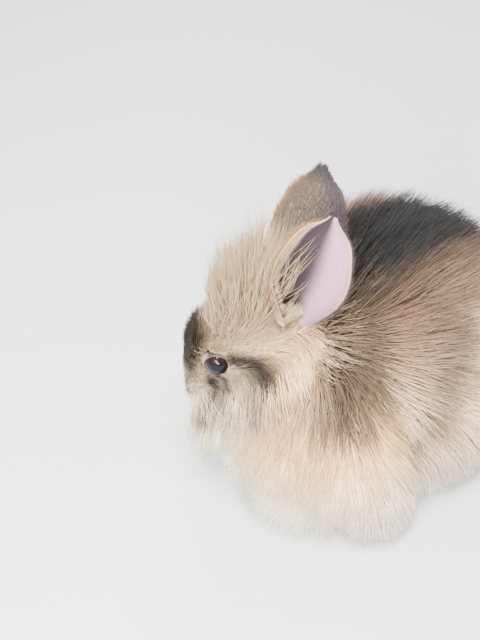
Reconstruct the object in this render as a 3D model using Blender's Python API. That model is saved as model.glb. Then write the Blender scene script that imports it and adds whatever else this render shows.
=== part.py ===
"""A young long-maned dwarf rabbit, life size, hunched on the floor with its head turned to its right.

Metres, +Z up. The body faces -X and its left side is -Y. Lengths below are written in millimetres and
turned into metres by MM. Each sub-part is one closed solid; neighbours meet face to face with GAP between.
"""

import math
import random

import bmesh
import bpy
from mathutils import Matrix, Vector
from mathutils.bvhtree import BVHTree

MM = 0.001
GAP = 0.3

# Driving dimensions, in millimetres
EYE_HEIGHT = 96.0
HEAD_MIDDLE = Vector((-84.0, 23.0, EYE_HEIGHT))
HEAD_TURN = 45.0
HEAD_DROOP = 36.0
EYE_RADIUS = 7.8
EYE_SPREAD = 13.0
EYE_RISE = 3.5
LID_THICKNESS = 1.5
LID_HALF_LENGTH = 7.0
LID_HALF_HEIGHT = 6.4
LID_SLANT = 22.0
LID_POINTS = 16
BODY_COAT = 25.0
RUFF_COAT = 22.0
TAIL_COAT = 8.0
LEG_COAT = 10.0
ELBOW_COAT = 13.0
CORE_SHARE = 0.45
FLOOR_CLEAR = 1.6
LOCK_THICKNESS = 2.4
LOCK_ROOT_DEPTH = 4.0
LOCK_LIFT = 32.0
LOCK_STEPS = 4
DEEPEST = 14.0
MOST_TRIES = 6
MOST_APART = 4
SLIVER_REACHES = (0.1, 0.06, 0.03, 0.015, 0.008, 0.004, 0.002)
EAR_WALL = 2.0

COLOURS = {
    "eye": (0.02, 0.014, 0.012, 1.0),
    "ear": (0.42, 0.27, 0.2, 1.0),
    "head": (0.55, 0.4, 0.26, 1.0),
    "neck": (0.68, 0.58, 0.44, 1.0),
    "torso": (0.4, 0.25, 0.15, 1.0),
    "foreleg": (0.68, 0.58, 0.46, 1.0),
    "hindleg": (0.6, 0.52, 0.44, 1.0),
    "tail": (0.5, 0.36, 0.24, 1.0),
}

GLOSSY = 0.05
FURRY = 0.85

SIDES = {"left": 1, "right": -1}


def clear_scene():
    for old in list(bpy.data.objects):
        bpy.data.objects.remove(old)


def collection(name, shown):
    made = bpy.data.collections.new(name)
    bpy.context.scene.collection.children.link(made)
    made.hide_render = not shown
    return made


def material(name, kind, roughness):
    made = bpy.data.materials.new(name)
    made.use_nodes = True
    shader = made.node_tree.nodes["Principled BSDF"]
    shader.inputs["Base Color"].default_value = COLOURS[kind]
    shader.inputs["Roughness"].default_value = roughness
    return made


def between(values, u):
    """The value at u, from 0 to 1, on a smooth curve through evenly spaced values."""
    spans = len(values) - 1
    i = min(int(u * spans), spans - 1)
    t = u * spans - i
    before, a, b, after = (values[max(0, min(spans, i + k))] for k in (-1, 0, 1, 2))
    return a + 0.5 * t * ((b - before) + t * ((2 * before - 5 * a + 4 * b - after) + t * (3 * (a - b) + after - before)))


class Form:
    """A rounded mass along a bent line of stations: (centre, half width, rise above it, fall below it)."""

    def __init__(self, *stations, sides=20, rings=10, dome=2.5, across=(0, 1, 0), square=1.0, place=None):
        self.centres = [Vector(station[0]) for station in stations]
        self.sizes = [Vector(station[1:4]) for station in stations]
        self.sides = sides
        self.rings = rings
        self.dome = dome
        self.across = Vector(across)
        self.square = square
        self.sign = 1
        up = self.frame(0.5)[1]
        self.sign = -1 if up.z < -0.2 or (abs(up.z) <= 0.2 and up.x > 0) else 1
        self.place = place or Matrix()

    def frame(self, u):
        ahead = (between(self.centres, min(1, u + 0.02)) - between(self.centres, max(0, u - 0.02))).normalized()
        up = ahead.cross(self.across).normalized() * self.sign
        return ahead, up, up.cross(ahead)

    def point(self, u, angle, grow=0.0):
        _, up, side = self.frame(u)
        width, rise, fall = between(self.sizes, u)
        round_off = max(0.0, 1 - abs(2 * u - 1) ** self.dome) ** (1 / self.dome)
        high = rise if math.sin(angle) > 0 else fall
        power = 1.0 if math.sin(angle) > 0 else self.square
        wide = math.copysign(abs(math.cos(angle)) ** power, math.cos(angle))
        tall = math.copysign(abs(math.sin(angle)) ** power, math.sin(angle))
        offset = side * wide * (width * round_off + grow)
        offset += up * tall * (high * round_off + grow)
        return self.place @ (between(self.centres, u) + offset)

    def mesh(self, grow=0.0):
        """A closed mesh of the mass, with every size larger by grow."""
        bm = bmesh.new()
        steps = [0.5 - 0.5 * math.cos(math.pi * i / self.rings) for i in range(1, self.rings)]
        loops = []
        for u in steps:
            pull = self.frame(u)[0] * grow * math.cos(math.pi * u) * -1
            turn = self.place.to_3x3() @ pull
            angles = [math.tau * k / self.sides for k in range(self.sides)]
            loops.append([bm.verts.new(self.point(u, angle, grow) + turn) for angle in angles])
        for low, high in zip(loops, loops[1:]):
            for k in range(self.sides):
                after = (k + 1) % self.sides
                bm.faces.new((low[k], low[after], high[after], high[k]))
        for u, ring, way in ((0.0, loops[0], -1), (1.0, loops[-1], 1)):
            pole = self.place @ (between(self.centres, u) + self.frame(u)[0] * grow * way)
            tip = bm.verts.new(pole)
            for k in range(self.sides):
                bm.faces.new((tip, ring[k], ring[(k + 1) % self.sides]))
        return bm


def facing_out(bm):
    """Splits each face along the same diagonal in every copy, and points the faces out."""
    bmesh.ops.triangulate(bm, faces=bm.faces, quad_method="FIXED")
    bmesh.ops.recalc_face_normals(bm, faces=bm.faces)
    if bm.calc_volume(signed=True) < 0:
        bmesh.ops.reverse_faces(bm, faces=bm.faces)


def solid(bm, name, where):
    """The bmesh in millimetres as an object in metres."""
    facing_out(bm)
    for vert in bm.verts:
        vert.co *= MM
    mesh = bpy.data.meshes.new(name)
    bm.to_mesh(mesh)
    bm.free()
    obj = bpy.data.objects.new(name, mesh)
    where.objects.link(obj)
    return obj


def lift_off_floor(bm, height):
    for vert in bm.verts:
        vert.co.z = max(vert.co.z, height)


def apply_boolean(target, operation, other=None, group=None):
    """Applies one Boolean on target, with either one object or a collection of closed meshes."""
    modifier = target.modifiers.new(operation.lower(), "BOOLEAN")
    modifier.operation = operation
    modifier.solver = "MANIFOLD"
    if group:
        modifier.operand_type = "COLLECTION"
        modifier.collection = group
    else:
        modifier.object = other
    bpy.context.view_layer.update()
    graph = bpy.context.evaluated_depsgraph_get()
    mesh = bpy.data.meshes.new_from_object(target.evaluated_get(graph))
    target.modifiers.remove(modifier)
    old = target.data
    target.data = mesh
    bpy.data.meshes.remove(old)


def fused(name, meshes):
    """The union of closed meshes as one object, outside any collection that shows."""
    pieces = bpy.data.collections.new(name + "_pieces")
    bpy.context.scene.collection.children.link(pieces)
    whole, *others = [solid(bm, f"{name}_piece", pieces) for bm in meshes]
    pieces.objects.unlink(whole)
    bpy.context.scene.collection.objects.link(whole)
    if others:
        apply_boolean(whole, "UNION", group=pieces)
    for old in others:
        bpy.data.objects.remove(old)
    bpy.data.collections.remove(pieces)
    return whole


def largest_surface(obj):
    """Keeps only the largest closed surface, which drops loose scraps and fills sealed hollows."""
    bm = bmesh.new()
    bm.from_mesh(obj.data)
    waiting = set(bm.faces)
    shells = []
    while waiting:
        front = [waiting.pop()]
        shell = list(front)
        while front:
            for edge in front.pop().edges:
                for face in edge.link_faces:
                    if face in waiting:
                        waiting.remove(face)
                        shell.append(face)
                        front.append(face)
        shells.append(shell)
    shells.sort(key=len, reverse=True)
    dropped = [face for shell in shells[1:] for face in shell]
    bmesh.ops.delete(bm, geom=dropped, context="FACES")
    bm.to_mesh(obj.data)
    bm.free()
    return len(shells) - 1


def without_slivers(obj):
    """Merges the closest corners that a union leaves, as far as the surface stays as closed as it was."""
    pinched = None
    for reach in (0.0,) + SLIVER_REACHES:
        bm = bmesh.new()
        bm.from_mesh(obj.data)
        bmesh.ops.triangulate(bm, faces=bm.faces)
        if reach:
            bmesh.ops.remove_doubles(bm, verts=bm.verts, dist=reach * MM)
        open_edges = sum(not edge.is_manifold for edge in bm.edges)
        pinches = sum(not vert.is_manifold for vert in bm.verts)
        if pinched is None:
            pinched = pinches
        elif open_edges == 0 and pinches <= pinched:
            bm.to_mesh(obj.data)
            bm.free()
            return reach
        bm.free()
    return 0


def triangle_count(obj):
    obj.data.calc_loop_triangles()
    return len(obj.data.loop_triangles)


def join(name, meshes, where, cuts=()):
    """One closed solid from overlapping closed meshes, less each group of cutters, as the object name."""
    whole = fused(name, meshes)
    for cutter_meshes in cuts:
        cutter = fused(name + "_cutter", cutter_meshes)
        if len(cutter_meshes) > MOST_APART:
            largest_surface(cutter)
        apply_boolean(whole, "DIFFERENCE", cutter)
        bpy.data.objects.remove(cutter)
    scraps = largest_surface(whole)
    whole.name = name
    whole.data.name = name
    whole.data.shade_smooth()
    bpy.context.scene.collection.objects.unlink(whole)
    where.objects.link(whole)
    print(name, triangle_count(whole), "triangles", scraps, "scraps dropped")
    return whole


def head_place():
    """From head axes, x ahead, y to its left and z over its crown, to the model."""
    turn = math.radians(HEAD_TURN)
    droop = math.radians(HEAD_DROOP)
    ahead = Vector((-math.cos(turn) * math.cos(droop), math.sin(turn) * math.cos(droop), -math.sin(droop)))
    left = Vector((-math.sin(turn), -math.cos(turn), 0))
    rows = Matrix((ahead, left, ahead.cross(left))).transposed().to_4x4()
    return Matrix.Translation(HEAD_MIDDLE) @ rows


HEAD = head_place()


def head_form(*stations, **options):
    return Form(*stations, place=HEAD, **options)


def skull_forms():
    forms = [
        head_form(
            ((31, 0, -10), 9, 8, 8.5),
            ((22, 0, -9.5), 13, 15.5, 15.5),
            ((9, 0, -6.5), 17, 19.5, 20.5),
            ((-6, 0, -4.5), 20.5, 22.5, 23),
            ((-20, 0, -3.5), 23, 23.5, 24),
            ((-33, 0, -2), 23.5, 21.5, 22),
            ((-44, 0, -1), 17, 14, 14),
            sides=20,
            rings=11,
        ),
        head_form(((25, 0, -19.5), 6, 4.5, 4), ((14, 0, -22), 7.5, 5, 5), ((3, 0, -23), 7, 5, 5), sides=10, rings=5),
    ]
    for side in SIDES.values():
        forms.append(head_form(((31.5, 3 * side, -11.5), 5, 5, 6), ((23.5, 6.5 * side, -12), 6.5, 7, 7.5),
                               ((10, 10 * side, -13.5), 5, 5, 6), sides=10, rings=6))
        forms.append(head_form(((12, 11 * side, -12), 6, 8, 8.5), ((-5, 16 * side, -10.5), 8, 11.5, 12.5),
                               ((-26, 17 * side, -9), 7, 11, 11), sides=11, rings=6))
    return forms


def crest_forms():
    """The low core under the crest of mane hair, from the forehead back between the ears."""
    return [Form(((-84, 23, 110), 7, 5, 6), ((-77, 20, 122), 10, 7, 8), ((-64, 14, 127), 12, 9, 8),
                 ((-48, 6, 118), 10, 7, 6), sides=14, rings=7)]


def eye_middle(side):
    return Vector((0, side * EYE_SPREAD, EYE_RISE))


def ball(middle, radius, segments=14, rings=8):
    bm = bmesh.new()
    bmesh.ops.create_uvsphere(bm, u_segments=segments, v_segments=rings, radius=radius)
    for vert in bm.verts:
        vert.co += middle
    return bm


def eye_axes(side):
    """The way the globe looks out, the line of the lids, nearly level as the head is held, and the way across them."""
    slant = math.radians(LID_SLANT)
    out = Vector((0.1, side, 0.3)).normalized()
    level = Vector((math.cos(slant), 0, math.sin(slant)))
    level = (level - out * level.dot(out)).normalized()
    high = level.cross(out) * side
    return out, level, high


def lid_opening(side):
    """The almond between the lids, cut along the way the eye looks."""
    out, level, high = eye_axes(side)
    bm = bmesh.new()
    loops = []
    for depth, flare in ((2.0, 0.86), (EYE_RADIUS + 4, 1.06)):
        loop = []
        for k in range(LID_POINTS):
            angle = math.tau * k / LID_POINTS
            tall = math.copysign(abs(math.sin(angle)) ** 1.25, math.sin(angle))
            step = level * math.cos(angle) * LID_HALF_LENGTH + high * tall * LID_HALF_HEIGHT
            loop.append(bm.verts.new(HEAD @ (eye_middle(side) + out * depth + step * flare)))
        loops.append(loop)
    for k in range(LID_POINTS):
        after = (k + 1) % LID_POINTS
        bm.faces.new((loops[0][k], loops[0][after], loops[1][after], loops[1][k]))
    bm.faces.new(loops[0])
    bm.faces.new(loops[1])
    return bm


def placed(bm, matrix):
    bm.transform(matrix)
    return bm


def groove(points, radius):
    """A cutter along points in head axes."""
    return head_form(*[(point, radius, radius, radius) for point in points], sides=8, rings=8, dome=6).mesh()


def face_cutters():
    """The cleft of the upper lip, the line of the mouth and the nostrils."""
    cutters = [groove(((33.5, 0, -11.5), (32.2, 0, -15.5), (29.5, 0, -19.5)), 0.7)]
    for side in SIDES.values():
        cutters.append(groove(((29.8, -0.4 * side, -19.5), (27, 4 * side, -20.1), (20.5, 9.4 * side, -20.7),
                               (13.5, 13.4 * side, -21)), 0.8))
        cutters.append(groove(((34, 0.9 * side, -9.1), (33, 2.6 * side, -8.1), (31.2, 4.6 * side, -6.1)), 0.8))
    return cutters


def ear_profile(t):
    """Half width, depth of the cup and half angle of the wall's arc, at t from the base to the tip."""
    width = between((7.0, 12.0, 16.4, 17.2, 15.6, 11.8, 2.0), t)
    depth = between((7.0, 11.0, 12.5, 11.0, 8.5, 5.5, 1.2), t)
    angle = math.radians(between((150.0, 120.0, 98.0, 88.0, 80.0, 76.0, 70.0), t))
    return width, depth, angle


EARS = {
    "left": {"base": (-43, 13.5, 3), "tip": Vector((-44.0, -7.0, 172.0)), "faces": Vector((-0.95, -0.8, 0.1))},
    "right": {"base": (-43, -13.5, 3), "tip": Vector((-22.0, 23.0, 176.0)), "faces": Vector((0.84, 0.53, 0.0))},
}


def ear_frame(side_name):
    ear = EARS[side_name]
    base = HEAD @ Vector(ear["base"])
    axis = (ear["tip"] - base).normalized()
    opening = (ear["faces"] - axis * ear["faces"].dot(axis)).normalized()
    return base, axis, opening, axis.cross(opening)


def ear_shell(side_name):
    """The cup of an ear: an arc of wall that is nearly a tube at the base and opens out to a pointed tip."""
    base, axis, opening, across = ear_frame(side_name)
    length = (EARS[side_name]["tip"] - base).length
    arc_steps = 7
    ring_steps = 9
    bm = bmesh.new()
    loops = []
    for i in range(ring_steps + 1):
        t = i / ring_steps
        width, depth, half_angle = ear_profile(t)
        wall = EAR_WALL * (1.15 - 0.55 * t) / 2
        middle = base + axis * length * t + opening * 5.0 * math.sin(math.pi * t)
        outer, inner = [], []
        for k in range(arc_steps + 1):
            angle = half_angle * (2 * k / arc_steps - 1)
            thin = wall * (0.55 if k in (0, arc_steps) else 1)
            for edge, line in ((1, outer), (-1, inner)):
                side_step = across * math.sin(angle) * (width + edge * thin)
                line.append(middle + side_step - opening * math.cos(angle) * (depth + edge * thin))
        loops.append([bm.verts.new(point) for point in outer + inner[::-1]])
    count = len(loops[0])
    for low, high in zip(loops, loops[1:]):
        for k in range(count):
            after = (k + 1) % count
            bm.faces.new((low[k], low[after], high[after], high[k]))
    for loop in (loops[0], loops[-1]):
        for k in range(count // 2 - 1):
            bm.faces.new((loop[k], loop[k + 1], loop[count - 2 - k], loop[count - 1 - k]))
    return bm


def ear_stem(side_name):
    """The solid root of an ear, which closes the floor of its cup."""
    base, axis, opening, _ = ear_frame(side_name)
    base = base - opening * 1.5
    low = base - axis * 8
    high = base + axis * 11
    form = Form((low, 7, 7, 7), ((low + high) / 2, 10, 10, 10), (high, 8, 7, 7), sides=12, rings=6)
    return form.mesh()


def ear_clearance(side_name):
    """The room round the root of an ear that the mane and the back leave free."""
    base, axis, opening, _ = ear_frame(side_name)
    low = base - axis * 10
    high = base + axis * 30 + opening * 3
    form = Form((low, 9, 9, 9), ((low + high) / 2, 15, 15, 15), (high, 16, 14, 14), sides=16, rings=8)
    return form.mesh()


def torso_forms():
    return [Form(
        ((-52, 0, 62), 22, 30, 32),
        ((-27, 0, 68), 39, 45, 42),
        ((2, 0, 71), 51, 50, 46),
        ((32, 0, 66), 50, 47, 44),
        ((56, 0, 54), 34, 34, 32),
        sides=22, rings=12, square=0.65,
    )]


def neck_forms():
    return [
        Form(((-46, -5, 108), 14, 10, 8), ((-48, -8, 90), 24, 14, 11), ((-53, -8, 66), 33, 19, 15),
             ((-57, -6, 42), 35, 20, 17), ((-60, -4, 22), 28, 19, 16), sides=20, rings=10),
    ]


def tail_forms():
    return [Form(((72, 0, 44), 7, 7, 7), ((84, 0, 52), 8, 8, 8), ((90, 0, 66), 6, 6, 6), sides=10, rings=6)]


def hindleg_forms(side):
    y = -side
    thigh = Form(((44, 40 * y, 66), 14, 26, 26), ((15.5, 52 * y, 41), 17, 34, 32), ((-12, 53 * y, 26.5), 13, 20, 20),
                 sides=12, rings=7)
    return [thigh]


def hindfoot_forms(side):
    y = -side
    foot = Form(((48, 49 * y, 8), 7.5, 7, 8), ((20, 51 * y, 7.2), 8.5, 7.5, 8), ((-22, 50 * y, 7), 9, 6.5, 8),
                ((-40, 50 * y, 6), 9, 6, 7), sides=10, rings=7)
    toes = [
        Form(((-26, (50 + step) * y, 5), 3.2, 4, 5), ((-44 + abs(step) * 0.6, (50 + step * 1.15) * y, 4), 3, 3.4, 4.6),
             sides=7, rings=4)
        for step in (-6.6, -2.2, 2.2, 6.6)
    ]
    return [foot] + toes


def foreleg_forms(side):
    y = -side
    upper = Form(((-48, 36 * y, 60), 9, 12, 12), ((-49, 50 * y, 37), 13, 16, 16), ((-49, 57 * y, 17), 13, 13, 13),
                 sides=12, rings=7)
    return [upper]


def forefoot_forms(side):
    y = -side
    arm = Form(((-34, 40 * y, 22), 7.5, 7.5, 8), ((-52, 32 * y, 12), 6.5, 6.5, 7), ((-70, 24 * y, 6), 7, 5.5, 7),
               ((-80, 22 * y, 5), 7, 5, 6), sides=10, rings=7)
    toes = [
        Form(((-70, (22.5 + step) * y, 4.5), 2.6, 3.4, 4.6),
             ((-84 + abs(step) * 0.5, (22 + step * 1.15) * y, 3.6), 2.5, 3, 4.2), sides=7, rings=4)
        for step in (-4.8, -1.6, 1.6, 4.8)
    ]
    return [arm] + toes


def floor_block():
    """Everything below the floor, to cut flat soles."""
    bm = bmesh.new()
    bmesh.ops.create_cube(bm, size=1.0)
    for vert in bm.verts:
        vert.co = Vector((vert.co.x * 400, vert.co.y * 400, vert.co.z * 40 - 20))
    return bm


def coated(forms, coat=0.0):
    meshes = [form.mesh(coat * CORE_SHARE) for form in forms]
    for bm in meshes:
        if coat:
            lift_off_floor(bm, FLOOR_CLEAR)
    return meshes


def grown(meshes):
    """The meshes with every face moved out by a little over GAP, as cutters for a neighbour."""
    for bm in meshes:
        facing_out(bm)
        bm.normal_update()
        steps = [vert.normal * GAP * 1.1 for vert in bm.verts]
        for vert, step in zip(bm.verts, steps):
            vert.co += step
    return meshes


def eye_ball(side):
    return placed(ball(eye_middle(side), EYE_RADIUS), HEAD)


def lid_ball(side):
    return placed(ball(eye_middle(side), EYE_RADIUS + LID_THICKNESS, 16, 9), HEAD)


def ear_pieces():
    return [make(name) for name in SIDES for make in (ear_shell, ear_stem)]


def ear_room():
    return grown(ear_pieces()) + [ear_clearance(name) for name in SIDES]


def head_pieces():
    return coated(skull_forms()) + coated(crest_forms()) + [lid_ball(side) for side in SIDES.values()]


def neck_pieces():
    return coated(neck_forms(), RUFF_COAT)


def torso_pieces():
    return coated(torso_forms(), BODY_COAT)


def hind_pieces(side):
    return coated(hindleg_forms(side), LEG_COAT) + coated(hindfoot_forms(side))


def fore_pieces(side):
    return coated(foreleg_forms(side), ELBOW_COAT) + coated(forefoot_forms(side))


def surface_tree(obj):
    """A search tree over an object's surface, in millimetres."""
    bm = bmesh.new()
    bm.from_mesh(obj.data)
    bm.transform(Matrix.Scale(1 / MM, 4))
    tree = BVHTree.FromBMesh(bm)
    bm.free()
    return tree


def furthest_root(core, faces, areas, taken, dice):
    """Of many random points on the faces, the one that lies furthest from those taken, with its face's normal."""
    best = None
    for face in dice.choices(faces, areas, k=14):
        a, b, c = (core.data.vertices[index].co for index in face.vertices[:3])
        s, t = sorted((dice.random(), dice.random()))
        point = (a * s + b * (t - s) + c * (1 - t)) / MM
        room = min([(point - other).length for other in taken], default=1e3)
        if best is None or room > best[0]:
            best = (room, point, face.normal.copy())
    return best[1:]


def along(normal, flow):
    """The flow turned into the plane of the surface."""
    flat = flow - normal * flow.dot(normal)
    return flat.normalized() if flat.length > 0.05 else Vector((0, 0, -1))


def lock_path(root, normal, coat, own, others, dice):
    """Points and outward directions along a lock, from inside the core to the tip."""
    length = coat["length"] * dice.uniform(0.85, 1.15)
    lift = math.radians(coat["lift"] * dice.uniform(0.8, 1.2))
    rise = coat["rise"] * dice.uniform(0.75, 1.0)
    sway = Vector([dice.uniform(-0.16, 0.16) for _ in range(3)])
    heading = along(normal, coat["flow"] + sway) * math.cos(lift) + normal * math.sin(lift)
    points = [root - normal * LOCK_ROOT_DEPTH - heading * 1.0]
    outs = [normal]
    point = root.copy()
    for step in range(1, LOCK_STEPS + 1):
        part = step / LOCK_STEPS
        point = point + heading * length / LOCK_STEPS
        near, near_normal, _, distance = own.find_nearest(point)
        out = (point - near).normalized() if distance > 1.5 else near_normal
        if (point - near).dot(near_normal) < 0:
            out = near_normal
        out = (out + outs[-1] * 1.5).normalized()
        if coat["hugs"]:
            point = near + near_normal * rise * part ** 0.8
        for tree in others:
            touch, touch_normal, _, gap = tree.find_nearest(point)
            keep = LOCK_THICKNESS * (1.1 - 0.4 * part) * dice.uniform(1.0, 1.5)
            inside = gap < DEEPEST and (point - touch).dot(touch_normal) < -0.6 * gap
            if gap < keep or inside:
                point = touch + touch_normal * keep
        point.z = max(point.z, FLOOR_CLEAR + LOCK_THICKNESS * 0.6 * (1 - part))
        points.append(point)
        outs.append(out)
        pull = along(out, coat["flow"] + sway) * 0.9 + Vector((0, 0, -coat["hang"]))
        heading = ((point - points[-2]).normalized() * 0.8 + pull).normalized()
    return points, outs


def blade(points, outs, width, extra=0.0):
    """A closed flat lock: a thin four-sided section along the points, tapering to one point. None if it folds."""
    bm = bmesh.new()
    rings = []
    last_way = last_side = None
    for k in range(LOCK_STEPS):
        way = (points[k + 1] - points[max(0, k - 1)]).normalized()
        side = way.cross(outs[k]).normalized()
        out = side.cross(way)
        wide = width * (0.66, 1.0, 0.92, 0.6)[k] / 2 + extra
        thick = LOCK_THICKNESS * (1.0, 1.0, 0.8, 0.55)[k] / 2 + extra
        ring = [points[k] + side * wide, points[k] + out * thick, points[k] - side * wide, points[k] - out * thick]
        for corner in ring:
            corner.z = max(corner.z, FLOOR_CLEAR / 2)
        if rings:
            ahead = (points[k] - points[k - 1]).normalized()
            if min((new - old).dot(ahead) for new, old in zip(ring, rings[-1])) < 0.8:
                bm.free()
                return None
            if way.dot(last_way) < 0.5 or side.dot(last_side) < 0.75:
                bm.free()
                return None
        rings.append(ring)
        last_way, last_side = way, side
    loops = [[bm.verts.new(corner) for corner in ring] for ring in rings]
    tip = bm.verts.new(points[-1] + (points[-1] - points[-2]).normalized() * extra)
    for low, high in zip(loops, loops[1:]):
        for k in range(4):
            bm.faces.new((low[k], low[(k + 1) % 4], high[(k + 1) % 4], high[k]))
    for k in range(4):
        bm.faces.new((loops[-1][k], loops[-1][(k + 1) % 4], tip))
    bm.faces.new(loops[0])
    return bm


def clear_of(bm, trees):
    """Whether a mesh crosses none of the other nodes. The mesh is used up."""
    tree = BVHTree.FromBMesh(bm)
    bm.free()
    return not any(tree.overlap(other) for other in trees)


def grown_locks(core, coat, others, seed):
    """The locks of one patch of coat, rooted evenly, that lie clear of every other node."""
    dice = random.Random(seed)
    own = surface_tree(core)
    faces = [face for face in core.data.polygons if coat["where"](face.center / MM, face.normal)]
    areas = [face.area for face in faces]
    made, taken = [], []
    while faces and len(made) < coat["count"] and len(taken) < MOST_TRIES * coat["count"]:
        root, normal = furthest_root(core, faces, areas, taken, dice)
        taken.append(root)
        for _ in range(4):
            points, outs = lock_path(root, normal, coat, own, others, dice)
            width = coat["width"] * dice.uniform(0.85, 1.15)
            fat = blade(points, outs, width, GAP * 1.2)
            lock = blade(points, outs, width)
            if fat and lock and clear_of(fat, others):
                made.append(lock)
                break
    return made


def patch(count, where, flow, length, width, rise, hang=0.1, hugs=True, lift=LOCK_LIFT):
    """One stretch of coat: how many locks, where they root, which way they flow and how large they are."""
    return {"count": count, "where": where, "flow": Vector(flow), "length": length, "width": width, "rise": rise,
            "hang": hang, "hugs": hugs, "lift": lift}


def leg_patches(count, fringes, low, high, back, rise):
    """The coat of a leg: locks over its side, and a fringe that hangs to the floor."""
    def over(p, n):
        return p.z > high and n.z > -0.5 and abs(p.y) > 30

    def fringe(p, n):
        return low < p.z < high + 6 and n.z < 0.5 and abs(p.y) > 38

    return [
        patch(count, over, (back, 0, -1), 36, 16, rise, hang=0.2),
        patch(fringes, fringe, (back * 0.4, 0, -1), 26, 14, 8, hang=0.5, hugs=False, lift=42),
    ]


def head_patches():
    """The coat of the head: the brow, the crest between the ears, the cheeks and the chin."""
    backward = -(HEAD.to_3x3() @ Vector((1, 0, 0)))
    upward = Vector((0, 0, 1))

    def brow(p, n):
        return p.z > 106 and n.z > -0.3 and n.x < 0.3 and p.x < -68

    def crest(p, n):
        return p.z > 114 and n.z > 0.0 and -70 < p.x < -40

    def cheek(side):
        def where(p, n):
            at = HEAD.inverted() @ p
            return -34 < at.x < 6 and at.y * side > 11 and -24 < at.z < -2
        return where

    def chin(p, n):
        at = HEAD.inverted() @ p
        return -20 < at.x < 24 and abs(at.y) < 12 and at.z < -15

    return [
        patch(6, crest, backward * 0.2 + upward, 54, 15, 14, hang=-0.15, hugs=False, lift=40),
        patch(6, brow, backward * 0.3 + upward, 44, 14, 12, hang=-0.15, hugs=False, lift=42),
        patch(5, cheek(1), (0.3, -0.3, -1), 44, 12, 9, hang=0.7, hugs=False),
        patch(5, cheek(-1), (0.3, 0.3, -1), 44, 12, 9, hang=0.7, hugs=False),
        patch(4, chin, (-0.15, 0.15, -1), 38, 11, 6, hang=0.8, hugs=False),
    ]


def coats():
    """Each node's patches of coat, from the lowest layer to the mane that lies over the rest."""
    def mane(p, n):
        return n.z > -0.5 and p.z > 14 and p.x < -30

    def body(p, n):
        return n.z > -0.45 and (p.x > -14 or p.z > 74)

    def brush(p, n):
        return p.x > 76

    return {
        "hindleg_left": leg_patches(4, 3, 12, 22, 0.8, 9),
        "hindleg_right": leg_patches(4, 3, 12, 22, 0.8, 9),
        "foreleg_left": leg_patches(4, 5, 10, 20, 0.1, 15),
        "foreleg_right": leg_patches(4, 5, 10, 20, 0.1, 15),
        "torso": [patch(54, body, (1, 0, -0.75), 51, 19, 18)],
        "tail": [patch(6, brush, (0.3, 0, 1), 22, 9, 5, hang=0.0)],
        "neck": [patch(33, mane, (0.12, 0, -1), 53, 17, 13, hang=0.25)],
        "head": head_patches(),
    }


def add_locks(nodes):
    """Grows each node's locks over what lies under them, then joins them to the node."""
    trees = {name: surface_tree(obj) for name, obj in nodes.items()}
    rooted = {}
    for name, patches in coats().items():
        others = [tree for other, tree in trees.items() if other.split("/")[0] != name]
        rooted[name] = []
        for number, coat in enumerate(patches):
            rooted[name] += grown_locks(nodes[name], coat, others, f"{name} {number}")
        if rooted[name]:
            together = bmesh.new()
            for lock in rooted[name]:
                copy = bpy.data.meshes.new("copy")
                lock.to_mesh(copy)
                together.from_mesh(copy)
                bpy.data.meshes.remove(copy)
            bmesh.ops.recalc_face_normals(together, faces=together.faces)
            trees[name + "/locks"] = BVHTree.FromBMesh(together)
            together.free()
    for name, locks in rooted.items():
        print(name, "locks", len(locks), "of", sum(coat["count"] for coat in coats()[name]))
        pieces = bpy.data.collections.new(name + "_locks")
        bpy.context.scene.collection.children.link(pieces)
        for lock in locks:
            solid(lock, "lock", pieces)
        apply_boolean(nodes[name], "UNION", group=pieces)
        for old in list(pieces.objects):
            bpy.data.objects.remove(old)
        bpy.data.collections.remove(pieces)
        scraps = largest_surface(nodes[name])
        reach = without_slivers(nodes[name])
        nodes[name].data.shade_smooth()
        count = triangle_count(nodes[name])
        print(name, count, "triangles with locks", scraps, "scraps dropped, corners merged within", reach)


def build():
    clear_scene()
    rabbit = collection("dwarf_rabbit", True)
    nodes = {}

    def node(name, meshes, cuts=()):
        nodes[name] = join(name, meshes, rabbit, cuts)

    for name, side in SIDES.items():
        node(f"eye_{name}", [eye_ball(side)])
        node(f"ear_{name}", [ear_shell(name), ear_stem(name)])
    sockets = grown([eye_ball(side) for side in SIDES.values()])
    openings = [lid_opening(side) for side in SIDES.values()]
    node("head", head_pieces(), (grown(ear_pieces()), sockets, openings, face_cutters()))
    node("neck", neck_pieces(), (ear_room() + grown(head_pieces()),))
    node("torso", torso_pieces(), (ear_room() + grown(head_pieces()) + grown(neck_pieces()),))
    for name, side in SIDES.items():
        body = grown(torso_pieces()) + grown(neck_pieces())
        node(f"hindleg_{name}", hind_pieces(side), (body, [floor_block()]))
        body = grown(torso_pieces()) + grown(neck_pieces()) + grown(hind_pieces(side))
        node(f"foreleg_{name}", fore_pieces(side), (body, [floor_block()]))
    node("tail", coated(tail_forms(), TAIL_COAT), (grown(torso_pieces()),))
    add_locks(nodes)
    for name, made in nodes.items():
        kind = name.split("_")[0]
        made.data.materials.clear()
        made.data.materials.append(material(name, kind, GLOSSY if kind == "eye" else FURRY))
    centre_over_origin(rabbit)


def centre_over_origin(rabbit):
    """Moves the meshes so that the middle of the whole box's floor is the origin."""
    corners = [vert.co for obj in rabbit.objects for vert in obj.data.vertices]
    middle = [(min(c[k] for c in corners) + max(c[k] for c in corners)) / 2 for k in (0, 1)]
    for obj in rabbit.objects:
        obj.data.transform(Matrix.Translation((-middle[0], -middle[1], 0)))
    print("centre moved by", -middle[0] / MM, -middle[1] / MM)


build()
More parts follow.
